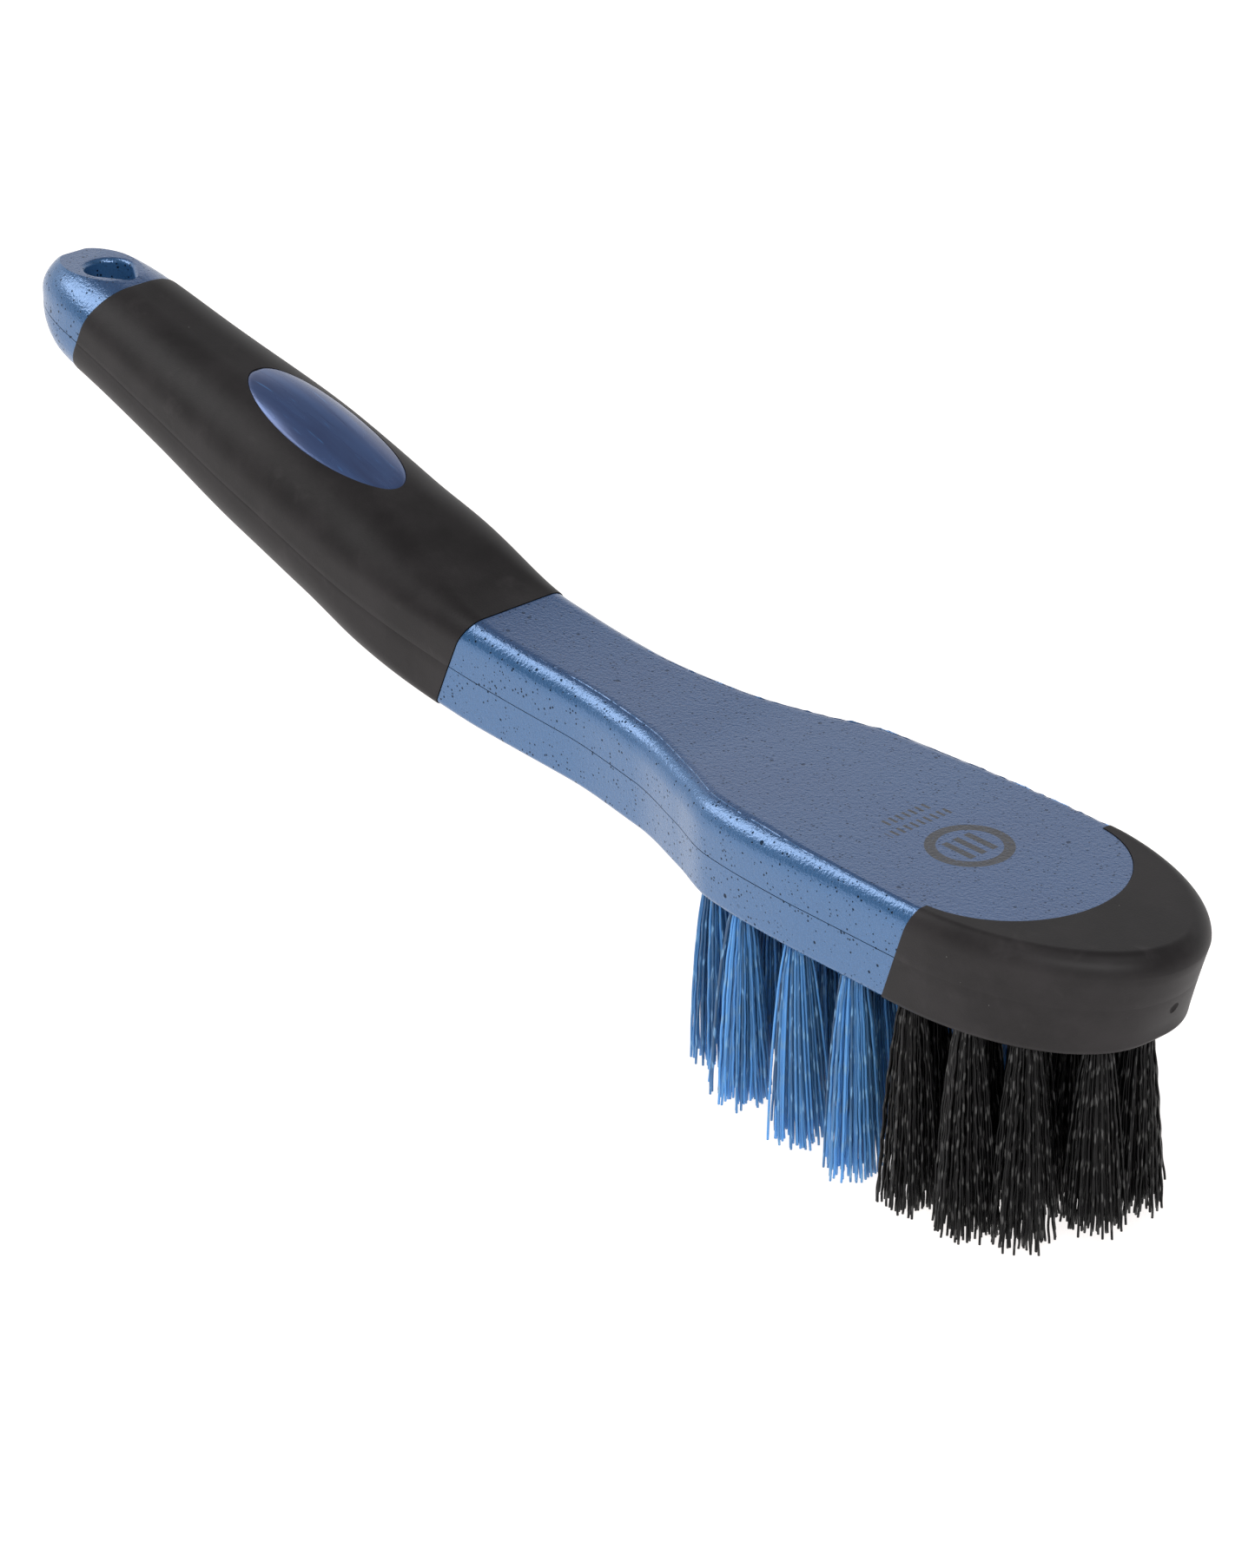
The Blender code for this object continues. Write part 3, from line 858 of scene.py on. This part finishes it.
def anchor_steel():
    """Drawn steel strip: bright, with fine lines along it."""
    finish = Surface("drawn_steel", metallic=1.0, base_color=(0.55, 0.55, 0.56, 1.0))
    vector = finish.place()
    lines = finish.noise(finish.stretch(vector, (0.1, 1.0, 1.0)), 0.15, 3.0)
    colour = finish.blend(lines, (0.42, 0.42, 0.43, 1.0), (0.62, 0.62, 0.63, 1.0))
    finish.wear(base_color=colour, roughness=0.28 + lines * 0.2, normal=finish.bump(lines, 0.01))
    return finish.material


# Pieces


def toe_core(grow):
    """The part of the block inside the bumper: a stepped core with the tongue of the top face on it."""
    half_width = BLOCK_HALF_WIDTH - SIDE_DRAFT - BUMPER_WALL + grow
    half_length = TOE_ROUND_LENGTH - TOE_DRAFT - BUMPER_WALL + grow
    steps = 90
    turns = [math.pi / 2 + math.pi * i / steps for i in range(steps + 1)]
    arc = [(TOE_ROUND_LENGTH + half_length * math.cos(t), half_width * math.sin(t)) for t in turns]
    outline = [*arc, (TOE_ROUND_LENGTH + 40, -half_width), (TOE_ROUND_LENGTH + 40, half_width)]
    core = link("toe_core", prism(outline, -BLOCK_THICKNESS - 15, -BUMPER_TOP_WALL + grow))
    tongue = ellipse(TONGUE_BACK, TONGUE_HALF_LENGTH + grow, TONGUE_HALF_WIDTH + grow, 200)
    combine(core, link("tongue", prism(tongue, -BUMPER_TOP_WALL - 6, 12)), "UNION")
    return core


def toe_zone(gap):
    """Everything in front of the leaning junction between the block and its bumper."""
    low, high = -BLOCK_THICKNESS - 10, 8
    corners = (
        (BUMPER_JOIN_BACK - BUMPER_JOIN_LEAN * high + gap, high),
        (BUMPER_JOIN_BACK - BUMPER_JOIN_LEAN * low + gap, low),
        (-20, low),
        (-20, high),
    )
    ends = [[(back, across, height) for back, height in corners] for across in (-50, 50)]
    return link("toe_zone", skin(ends))


def anchor_places():
    """Every tuft as (name, back, across), from where the frame has its anchor."""
    places = []
    for node in sorted(frame["nodes"]):
        if node.startswith("tuft_anchor_"):
            low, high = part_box(node)
            middle = (low + high) / 2 / MM
            places.append((node.removeprefix("tuft_anchor_"), TOE_X - middle.x, middle.y))
    return places


def tuft_holes():
    """All the blind holes in the underside of the block."""
    shape = bmesh.new()
    for _, back, across in anchor_places():
        depth = TUFT_HOLE_DEPTH + 6
        middle = place(back, across, -BLOCK_THICKNESS - 6 + depth / 2)
        bmesh.ops.create_cone(
            shape,
            cap_ends=True,
            segments=24,
            radius1=TUFT_HOLE_RADIUS * MM,
            radius2=TUFT_HOLE_RADIUS * MM,
            depth=depth * MM,
            matrix=Matrix.Translation(middle),
        )
    bmesh.ops.recalc_face_normals(shape, faces=shape.faces)
    return link("tuft_holes", shape)


def hang_hole_outline(grow=0.0):
    """The teardrop of the hanging hole, its blunt tip towards the grip."""
    wide, tip = HANG_HOLE_RADIUS + grow, HANG_HOLE_TIP_RADIUS + grow
    tangent = math.acos((wide - tip) / HANG_HOLE_TIP_REACH)
    outline = [(wide, 0.0, turn) for turn in np.linspace(tangent, 2 * math.pi - tangent, 61)]
    outline += [(tip, HANG_HOLE_TIP_REACH, turn) for turn in np.linspace(-tangent, tangent, 17)]
    return [
        (HANG_HOLE_BACK - reach - radius * math.cos(turn), radius * math.sin(turn))
        for radius, reach, turn in outline
    ]


def hang_hole():
    """The hole, flared where it meets the flat."""
    layers = [(hang_hole_outline(), 0.0)]
    steps = 10
    for i in range(steps + 1):
        turn = math.pi / 2 * i / steps
        height = FACET_HEIGHT - HANG_HOLE_FLARE * (1 - math.sin(turn))
        layers.append((hang_hole_outline(HANG_HOLE_FLARE * (1 - math.cos(turn))), height))
    layers.append((hang_hole_outline(HANG_HOLE_FLARE), FACET_HEIGHT + 4))
    return loft(layers)


def outline_stations():
    """Distances back from the toe, close together where the ends turn."""
    toe = [TOE_ROUND_LENGTH * (1 - math.cos(math.pi / 2 * i / TOE_STEPS)) for i in range(TOE_STEPS)]
    straight = np.arange(TOE_ROUND_LENGTH, GRIP_FRONT - 1, STATION_STEP)
    turns = [math.pi / 2 * i / HANG_STEPS for i in range(1, HANG_STEPS + 1)]
    hang = [LENGTH - HANG_ROUND_LENGTH * (1 - math.sin(turn)) for turn in turns]
    return toe + list(straight), hang


class BRUSH_OT_mould_body(bpy.types.Operator):
    """Mould the blue body: block, neck, the core under the sleeve, and the hang end"""

    bl_idname = "brush.mould_body"
    bl_label = "Mould Body"

    def execute(self, context):
        settings = context.scene.brush_body
        random = np.random.default_rng(SEED)
        head, hang = outline_stations()
        seam = settings.seam / MM
        rings = []
        for back in head:
            ragged = settings.ridge / MM * max(0.0, random.normal(0.7, 0.55))
            rings.append(ring_at(back, 0.0, ragged * (1 - smooth_step(back, 150, 200)), seam))
        rings.append(ring_at(GRIP_FRONT, 0.0, 0.0, seam))
        rings += [ring_at(back, GRIP_WALL + JOINT_GAP) for back in np.linspace(GRIP_FRONT, GRIP_REAR, 60)]
        rings.append(ring_at(GRIP_REAR, 0.0, 0.0, seam))
        rings += [ring_at(back, 0.0, 0.0, seam) for back in hang]
        body = link("moulded_body", skin(rings, seams=True))
        finishes = [pearl_plastic(settings), seam_grime(settings)]
        paint(body, finishes)
        collar_form = link("collar", skin([ring_at(back) for back in np.linspace(325, 358, 24)]))
        collar = prism(hang_hole_outline(HANG_COLLAR_WALL), 0, 30)
        combine(collar_form, link("collar_outline", collar), "INTERSECT")
        combine(body, collar_form, "UNION")
        above = [(320, -40), (320, 40), (385, 40), (385, -40)]
        combine(body, link("facet", prism(above, FACET_HEIGHT, FACET_HEIGHT + 30)), "DIFFERENCE")
        combine(body, link("hang_hole", hang_hole()), "DIFFERENCE")
        recess = toe_zone(JOINT_GAP)
        combine(recess, toe_core(0.0), "DIFFERENCE")
        combine(body, recess, "DIFFERENCE")
        combine(body, tuft_holes(), "DIFFERENCE")
        shade(body, 12)
        fit_out(body, finishes, ["brush_body"])
        return {"FINISHED"}


class BRUSH_OT_pull_on_sleeve(bpy.types.Operator):
    """Mould the rubber sleeve round the handle, with its window opening"""

    bl_idname = "brush.pull_on_sleeve"
    bl_label = "Pull On Sleeve"

    def execute(self, context):
        settings = context.scene.brush_rubber
        proud, edge = settings.proud / MM, settings.edge / MM
        front, rear = GRIP_FRONT + JOINT_GAP, GRIP_REAR - JOINT_GAP
        turns = [math.pi / 2 * i / EDGE_STEPS for i in range(EDGE_STEPS)]
        insets = [edge * (1 - math.sin(turn)) for turn in turns]
        outer = [ring_at(front + inset, inset - proud) for inset in insets]
        for back in np.linspace(front + edge, rear - edge, SLEEVE_STEPS):
            outer.append(ring_at(back, -proud, 0.0, SLEEVE_SEAM))
        outer += [ring_at(rear - inset, inset - proud) for inset in reversed(insets)]
        inner = [ring_at(back, GRIP_WALL) for back in np.linspace(rear, front, 40)]
        sleeve = link("grip_cover", skin([*outer, *inner], join_ends=True))
        window = ellipse(WINDOW_BACK, WINDOW_HALF_LENGTH, WINDOW_HALF_WIDTH, 160, WINDOW_ACROSS)
        combine(sleeve, link("window_opening", prism(window, 8, 60)), "DIFFERENCE")
        notch = prism(hang_hole_outline(HANG_COLLAR_WALL + JOINT_GAP), -20, 30)
        combine(sleeve, link("collar_notch", notch), "DIFFERENCE")
        shade(sleeve)
        fit_out(sleeve, [rubber_finish(context)], ["grip_sleeve"])
        return {"FINISHED"}


class BRUSH_OT_set_window(bpy.types.Operator):
    """Set the domed blue window into the sleeve"""

    bl_idname = "brush.set_window"
    bl_label = "Set Window"

    def execute(self, context):
        settings = context.scene.brush_rubber
        form = skin([ring_at(back) for back in np.linspace(WINDOW_BACK - 32, WINDOW_BACK + 32, 90)])
        tree = BVHTree.FromBMesh(form)
        form.free()
        dome, lip = settings.dome / MM, 0.16
        rows = [(share, lip + dome * (1 - share * share)) for share in np.linspace(0.04, 0.97, 26)]
        rows += [(0.982, lip * 0.9), (0.990, lip * 0.6), (0.995, lip * 0.1), (0.996, -0.5), (0.996, -2.6)]
        shape = bmesh.new()

        def point(share, turn, lift):
            lift += DOME_SKEW * dome * max(0.0, 1 - share * share) * share * math.cos(turn)
            back = WINDOW_BACK + WINDOW_HALF_LENGTH * share * math.cos(turn)
            across = WINDOW_ACROSS + WINDOW_HALF_WIDTH * share * math.sin(turn)
            hit = tree.ray_cast(place(back, across, 80), Vector((0, 0, -1)))[0]
            if hit is None:
                raise RuntimeError("the window lies outside the sleeve")
            return shape.verts.new(hit + Vector((0, 0, lift * MM)))

        turns = [2 * math.pi * i / WINDOW_STEPS for i in range(WINDOW_STEPS)]
        rings = [[point(share, turn, lift) for turn in turns] for share, lift in rows]
        for first, second in zip(rings, rings[1:]):
            for i in range(WINDOW_STEPS):
                j = (i + 1) % WINDOW_STEPS
                shape.faces.new((first[i], first[j], second[j], second[i]))
        middle = point(0.0, 0.0, lip + dome)
        for i in range(WINDOW_STEPS):
            shape.faces.new((middle, rings[0][(i + 1) % WINDOW_STEPS], rings[0][i]))
        shape.faces.new(reversed(rings[-1]))
        tidy_shape(shape)
        window = link("grip_window", shape)
        shade(window, 50)
        window.data.materials.append(lens_plastic(context.scene.brush_body))
        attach(window, BODY)
        return {"FINISHED"}


class BRUSH_OT_mould_bumper(bpy.types.Operator):
    """Mould the rubber bumper round the toe, with the mark its gate left"""

    bl_idname = "brush.mould_bumper"
    bl_label = "Mould Bumper"

    def execute(self, context):
        settings = context.scene.brush_rubber
        proud = settings.proud / MM
        head, _ = outline_stations()
        rings = [ring_at(back, -proud, 0.0, BUMPER_SEAM) for back in head if back < TOE_ROUND_LENGTH + 20]
        bumper = link("toe_cover", skin(rings))
        combine(bumper, toe_zone(0.0), "INTERSECT")
        combine(bumper, toe_core(JOINT_GAP), "DIFFERENCE")
        gate = bmesh.new()
        size = Matrix.Diagonal((*(radius * MM for radius in GATE_RADII), 1.0))
        placing = Matrix.Translation(place(*GATE_MIDDLE)) @ size
        bmesh.ops.create_icosphere(gate, subdivisions=3, radius=1.0, matrix=placing)
        combine(bumper, link("gate", gate), "DIFFERENCE")
        shade(bumper)
        fit_out(bumper, [rubber_finish(context)], ["toe_bumper"])
        return {"FINISHED"}


def rubber_finish(context):
    return bpy.data.materials.get("soft_black_rubber") or soft_rubber(context.scene.brush_rubber)


def trim_height(back):
    """Height of the tips above the lowest ones: the heel and toe tufts are cut shorter, on a curve."""
    heel = max(0.0, back - HEEL_TRIM_START)
    toe = max(0.0, TOE_TRIM_START - back)
    return HEEL_TRIM_CURVE * heel**2 + TOE_TRIM_CURVE * toe**2


def tuft_points(back, across, blue, settings, random):
    """The centre line of every filament in a tuft, in millimetres: filaments x steps x 3."""
    count = settings.count
    thickness = settings.thickness / MM
    spiral = np.arange(count)
    turn = spiral * math.pi * (3 - math.sqrt(5)) + random.uniform(0, 2 * math.pi)
    reach = np.sqrt((spiral + 0.5) / count)
    turn += random.normal(0, 0.12, count)
    base = (TUFT_RADIUS - thickness / 2) * reach
    tip = settings.fan / MM * reach * random.uniform(0.8, 1.1, count)
    stray = random.random(count) < STRAY_CHANCE
    tip = np.where(stray, tip * random.uniform(1.1, 1.35, count), tip)
    length = BRISTLE_LENGTH - trim_height(back)
    cut = np.abs(random.normal(0, settings.ragged / MM, count)) * 0.75
    length = length - np.where(random.random(count) < SHORT_CHANCE, cut * 1.8, cut)
    bend = random.normal(0, 0.3, (count, 2))
    down = np.concatenate([[-TUFT_DEPTH, -5.0, -1.0], np.linspace(0, 1, STRAND_STEPS)])
    share = np.clip(down, 0, 1)[None, :]
    drop = np.where(down < 0, down, 0)[None, :] + share * length[:, None]
    lean_end, lean_side = TUFT_LEAN + random.normal(0, 0.9), random.normal(0, 0.5)
    spread = share**0.65
    radius = base[:, None] + (tip - base)[:, None] * spread
    curl = share * (1 - share) * 4
    x = back - lean_end * share**1.4 + radius * np.cos(turn)[:, None] + bend[:, :1] * curl
    y = across + lean_side * share**1.4 + radius * np.sin(turn)[:, None] + bend[:, 1:] * curl
    pitch = settings.pitch / MM * (BLUE_PITCH_SHARE if blue else 1.0)
    wave = settings.crimp / MM * (BLUE_CRIMP_SHARE if blue else 1.0)
    facing = random.uniform(0, math.pi) + random.normal(0, 0.6, count)
    start = random.uniform(0, 2 * math.pi) + random.normal(0, 0.75, count)
    pitch = pitch * random.normal(1.0, 0.04, count)
    crimp = wave * np.sin(2 * math.pi * drop / pitch[:, None] + start[:, None]) * np.clip(share * 12, 0, 1)
    x = x + crimp * np.cos(facing)[:, None]
    y = y + crimp * np.sin(facing)[:, None]
    z = -BLOCK_THICKNESS - drop
    return np.stack([x, y, z], axis=-1)


def filament_mesh(name, lines, thickness):
    """Tubes along the centre lines, closed at both ends."""
    count, steps, _ = lines.shape
    sides = FILAMENT_SIDES
    turns = 2 * math.pi * np.arange(sides) / sides
    ring = np.stack([np.cos(turns), np.sin(turns), np.zeros(sides)], axis=-1) * thickness / 2
    world = np.stack([TOE_X - lines[..., 0], lines[..., 1], lines[..., 2] + BLOCK_TOP], axis=-1)
    points = (world[:, :, None, :] + ring[None, None, :, :]).reshape(-1, 3) * MM
    first = np.arange(count)[:, None, None] * steps * sides + np.arange(steps - 1)[None, :, None] * sides
    side = np.arange(sides)[None, None, :]
    after = (side + 1) % sides
    near, far = first + side, first + after
    quads = np.stack([near, near + sides, far + sides, far], axis=-1).reshape(-1, 4)
    ends = np.arange(count)[:, None] * steps * sides + np.arange(sides)[None, :]
    caps = np.concatenate([ends, ends[:, ::-1] + (steps - 1) * sides])
    loops = np.concatenate([quads.ravel(), caps.ravel()])
    sizes = np.concatenate([np.full(len(quads), 4), np.full(len(caps), sides)])
    mesh = bpy.data.meshes.new(name)
    mesh.vertices.add(len(points))
    mesh.vertices.foreach_set("co", points.ravel())
    mesh.loops.add(len(loops))
    mesh.loops.foreach_set("vertex_index", loops)
    mesh.polygons.add(len(sizes))
    mesh.polygons.foreach_set("loop_start", np.concatenate([[0], np.cumsum(sizes)[:-1]]))
    smooth = np.concatenate([np.ones(len(quads), bool), np.zeros(len(caps), bool)])
    mesh.polygons.foreach_set("use_smooth", smooth)
    mesh.update(calc_edges=True)
    mesh.validate()
    return mesh


class BRUSH_OT_staple_bristles(bpy.types.Operator):
    """Fill every hole with a bundle of crimped filaments"""

    bl_idname = "brush.staple_bristles"
    bl_label = "Staple Bristles"

    def execute(self, context):
        settings = context.scene.brush_bristles
        random = np.random.default_rng(SEED + 1)
        blue_pitch = settings.pitch * BLUE_PITCH_SHARE
        finishes = {
            "blue_bristle": bristle_plastic(
                "blue_bristle_plastic", settings.blue, 0.26, 0.68, 1.45, BLUE_GLINT, blue_pitch
            ),
            "black_bristle": bristle_plastic(
                "black_bristle_plastic", settings.black, 0.24, 0.3, 1.3, BLACK_GLINT, settings.pitch
            ),
        }
        for name, back, across in anchor_places():
            node = f"bristle_tuft_{name}"
            blue = frame["nodes"][node].data.materials[0].name.startswith("blue")
            slot = "blue_bristle" if blue else "black_bristle"
            lines = tuft_points(back, across, blue, settings, random)
            mesh = filament_mesh(f"bristles_{name}", lines, settings.thickness / MM)
            tuft = bpy.data.objects.new(mesh.name, mesh)
            context.scene.collection.objects.link(tuft)
            fit_out(tuft, [finishes[slot]], [node])
        return {"FINISHED"}


class BRUSH_OT_finish_anchors(bpy.types.Operator):
    """Give the steel anchors inside the block their finish"""

    bl_idname = "brush.finish_anchors"
    bl_label = "Finish Anchors"

    def execute(self, context):
        steel = anchor_steel()
        for name, _, _ in anchor_places():
            frame["nodes"][f"tuft_anchor_{name}"].material_slots[0].material = steel
        return {"FINISHED"}


# Stage

CAMERA_AT = Vector((0.7912, -0.6910, BLOCK_TOP * MM + 0.4970))
CAMERA_AIM = Vector((0.0201, 0.0, BLOCK_TOP * MM - 0.0259))
CAMERA_ROLL = 0.15
STAGE_MIDDLE = Vector((0.03, 0.0, 0.06))
LIGHT_DISTANCE = 1.2
FLOOR_RADIUS = 6.0
FLOOR_GLOW_COLOUR = (1.0, 0.965, 0.95, 1.0)
ROOM_DIM = 0.10
BACKDROP = 0.85


def softbox(name, towards, size, power):
    """A soft rectangular light that faces the brush."""
    light = bpy.data.lights.new(name, "AREA")
    light.shape = "RECTANGLE"
    light.size, light.size_y = size
    light.energy = power
    obj = bpy.data.objects.new(name, light)
    bpy.context.scene.collection.objects.link(obj)
    direction = Vector(towards).normalized()
    obj.location = STAGE_MIDDLE + direction * LIGHT_DISTANCE
    obj.rotation_mode = "QUATERNION"
    obj.rotation_quaternion = direction.to_track_quat("Z", "Y")
    obj.visible_camera = False
    return obj


def make_floor(settings):
    shape = bmesh.new()
    bmesh.ops.create_circle(shape, cap_ends=True, segments=96, radius=FLOOR_RADIUS)
    floor = link("floor", shape)
    material = bpy.data.materials.new("floor_white")
    finish = Finish(material)
    shader = finish.tree.nodes["Principled BSDF"]
    finish.set(shader.inputs["Base Color"], tuple(settings.floor))
    finish.set(shader.inputs["Roughness"], 0.9)
    finish.set(shader.inputs["Emission Color"], FLOOR_GLOW_COLOUR)
    finish.set(shader.inputs["Emission Strength"], settings.glow)
    floor.data.materials.append(material)


def make_surroundings():
    """A pale room: bright beyond the brush, dim overhead and on the near side."""
    world = bpy.data.worlds.new("studio")
    bpy.context.scene.world = world
    finish = Finish(world)
    direction = finish.node("ShaderNodeTexCoord").out("Generated")
    away = CAMERA_AIM - CAMERA_AT
    away.z = 0
    away.normalize()
    x, y, z = finish.axes(direction)
    beyond = x * away.x + y * away.y
    backdrop = finish.rise(beyond, -0.15, 0.45) * finish.fall(z, 0.42, 0.72)
    strength = ROOM_DIM + backdrop * BACKDROP
    seen = finish.node("ShaderNodeLightPath").out("Is Camera Ray")
    strength = strength + seen * (ROOM_DIM + BACKDROP - strength)
    background = finish.tree.nodes["Background"]
    finish.set(background.inputs["Color"], (1.0, 1.0, 1.0, 1.0))
    finish.set(background.inputs["Strength"], strength)


def make_camera(settings):
    camera = bpy.data.cameras.new("camera")
    camera.lens = settings.lens
    camera.sensor_width = 36.0
    camera.clip_start, camera.clip_end = 0.01, 50.0
    obj = bpy.data.objects.new("camera", camera)
    bpy.context.scene.collection.objects.link(obj)
    obj.location = CAMERA_AT
    aim = (CAMERA_AIM - CAMERA_AT).to_track_quat("-Z", "Y")
    roll = Matrix.Rotation(math.radians(CAMERA_ROLL), 4, "Z").to_quaternion()
    obj.rotation_mode = "QUATERNION"
    obj.rotation_quaternion = aim @ roll
    bpy.context.scene.camera = obj


class BRUSH_OT_set_stage(bpy.types.Operator):
    """Lay the floor and set the lights and the camera"""

    bl_idname = "brush.set_stage"
    bl_label = "Set Stage"

    def execute(self, context):
        settings = context.scene.brush_stage
        make_floor(settings)
        make_surroundings()
        softbox("key_softbox", (-0.665, -0.363, 0.654), (0.45, 0.80), settings.key)
        softbox("top_softbox", (0.35, -0.12, 0.93), (0.5, 0.4), settings.top)
        softbox("front_softbox", (0.60, -0.60, 0.53), (0.9, 0.25), settings.front)
        make_camera(settings)
        context.scene.view_settings.view_transform = "Standard"
        return {"FINISHED"}


class BRUSH_PT_panel(bpy.types.Panel):
    """The brush's settings and the steps that build it"""

    bl_idname = "BRUSH_PT_panel"
    bl_label = "Scrubbing Brush"
    bl_space_type = "VIEW_3D"
    bl_region_type = "UI"
    bl_category = "Brush"

    def draw(self, context):
        for group, steps in STEPS.items():
            box = self.layout.box()
            settings = getattr(context.scene, group)
            for name in settings.__annotations__:
                box.prop(settings, name)
            for step in steps:
                box.operator(step.bl_idname)


STEPS = {
    "brush_body": (BRUSH_OT_mould_body,),
    "brush_rubber": (BRUSH_OT_pull_on_sleeve, BRUSH_OT_set_window, BRUSH_OT_mould_bumper),
    "brush_bristles": (BRUSH_OT_staple_bristles, BRUSH_OT_finish_anchors),
    "brush_stage": (BRUSH_OT_set_stage,),
}
SETTINGS = {
    "brush_body": BrushBodySettings,
    "brush_rubber": BrushRubberSettings,
    "brush_bristles": BrushBristleSettings,
    "brush_stage": BrushStageSettings,
}
CLASSES = (*SETTINGS.values(), *(step for steps in STEPS.values() for step in steps), BRUSH_PT_panel)


def register():
    for cls in CLASSES:
        bpy.utils.register_class(cls)
    for name, group in SETTINGS.items():
        setattr(bpy.types.Scene, name, PointerProperty(type=group))


def unregister():
    for name in SETTINGS:
        delattr(bpy.types.Scene, name)
    for cls in reversed(CLASSES):
        bpy.utils.unregister_class(cls)


def main():
    for obj in [obj for obj in bpy.data.objects if obj.name in ("Cube", "Light", "Camera")]:
        bpy.data.objects.remove(obj)
    register()
    bpy.ops.brush.mould_body()
    bpy.ops.brush.pull_on_sleeve()
    bpy.ops.brush.set_window()
    bpy.ops.brush.mould_bumper()
    bpy.ops.brush.staple_bristles()
    bpy.ops.brush.finish_anchors()
    bpy.ops.brush.set_stage()


if __name__ == "__main__":
    main()
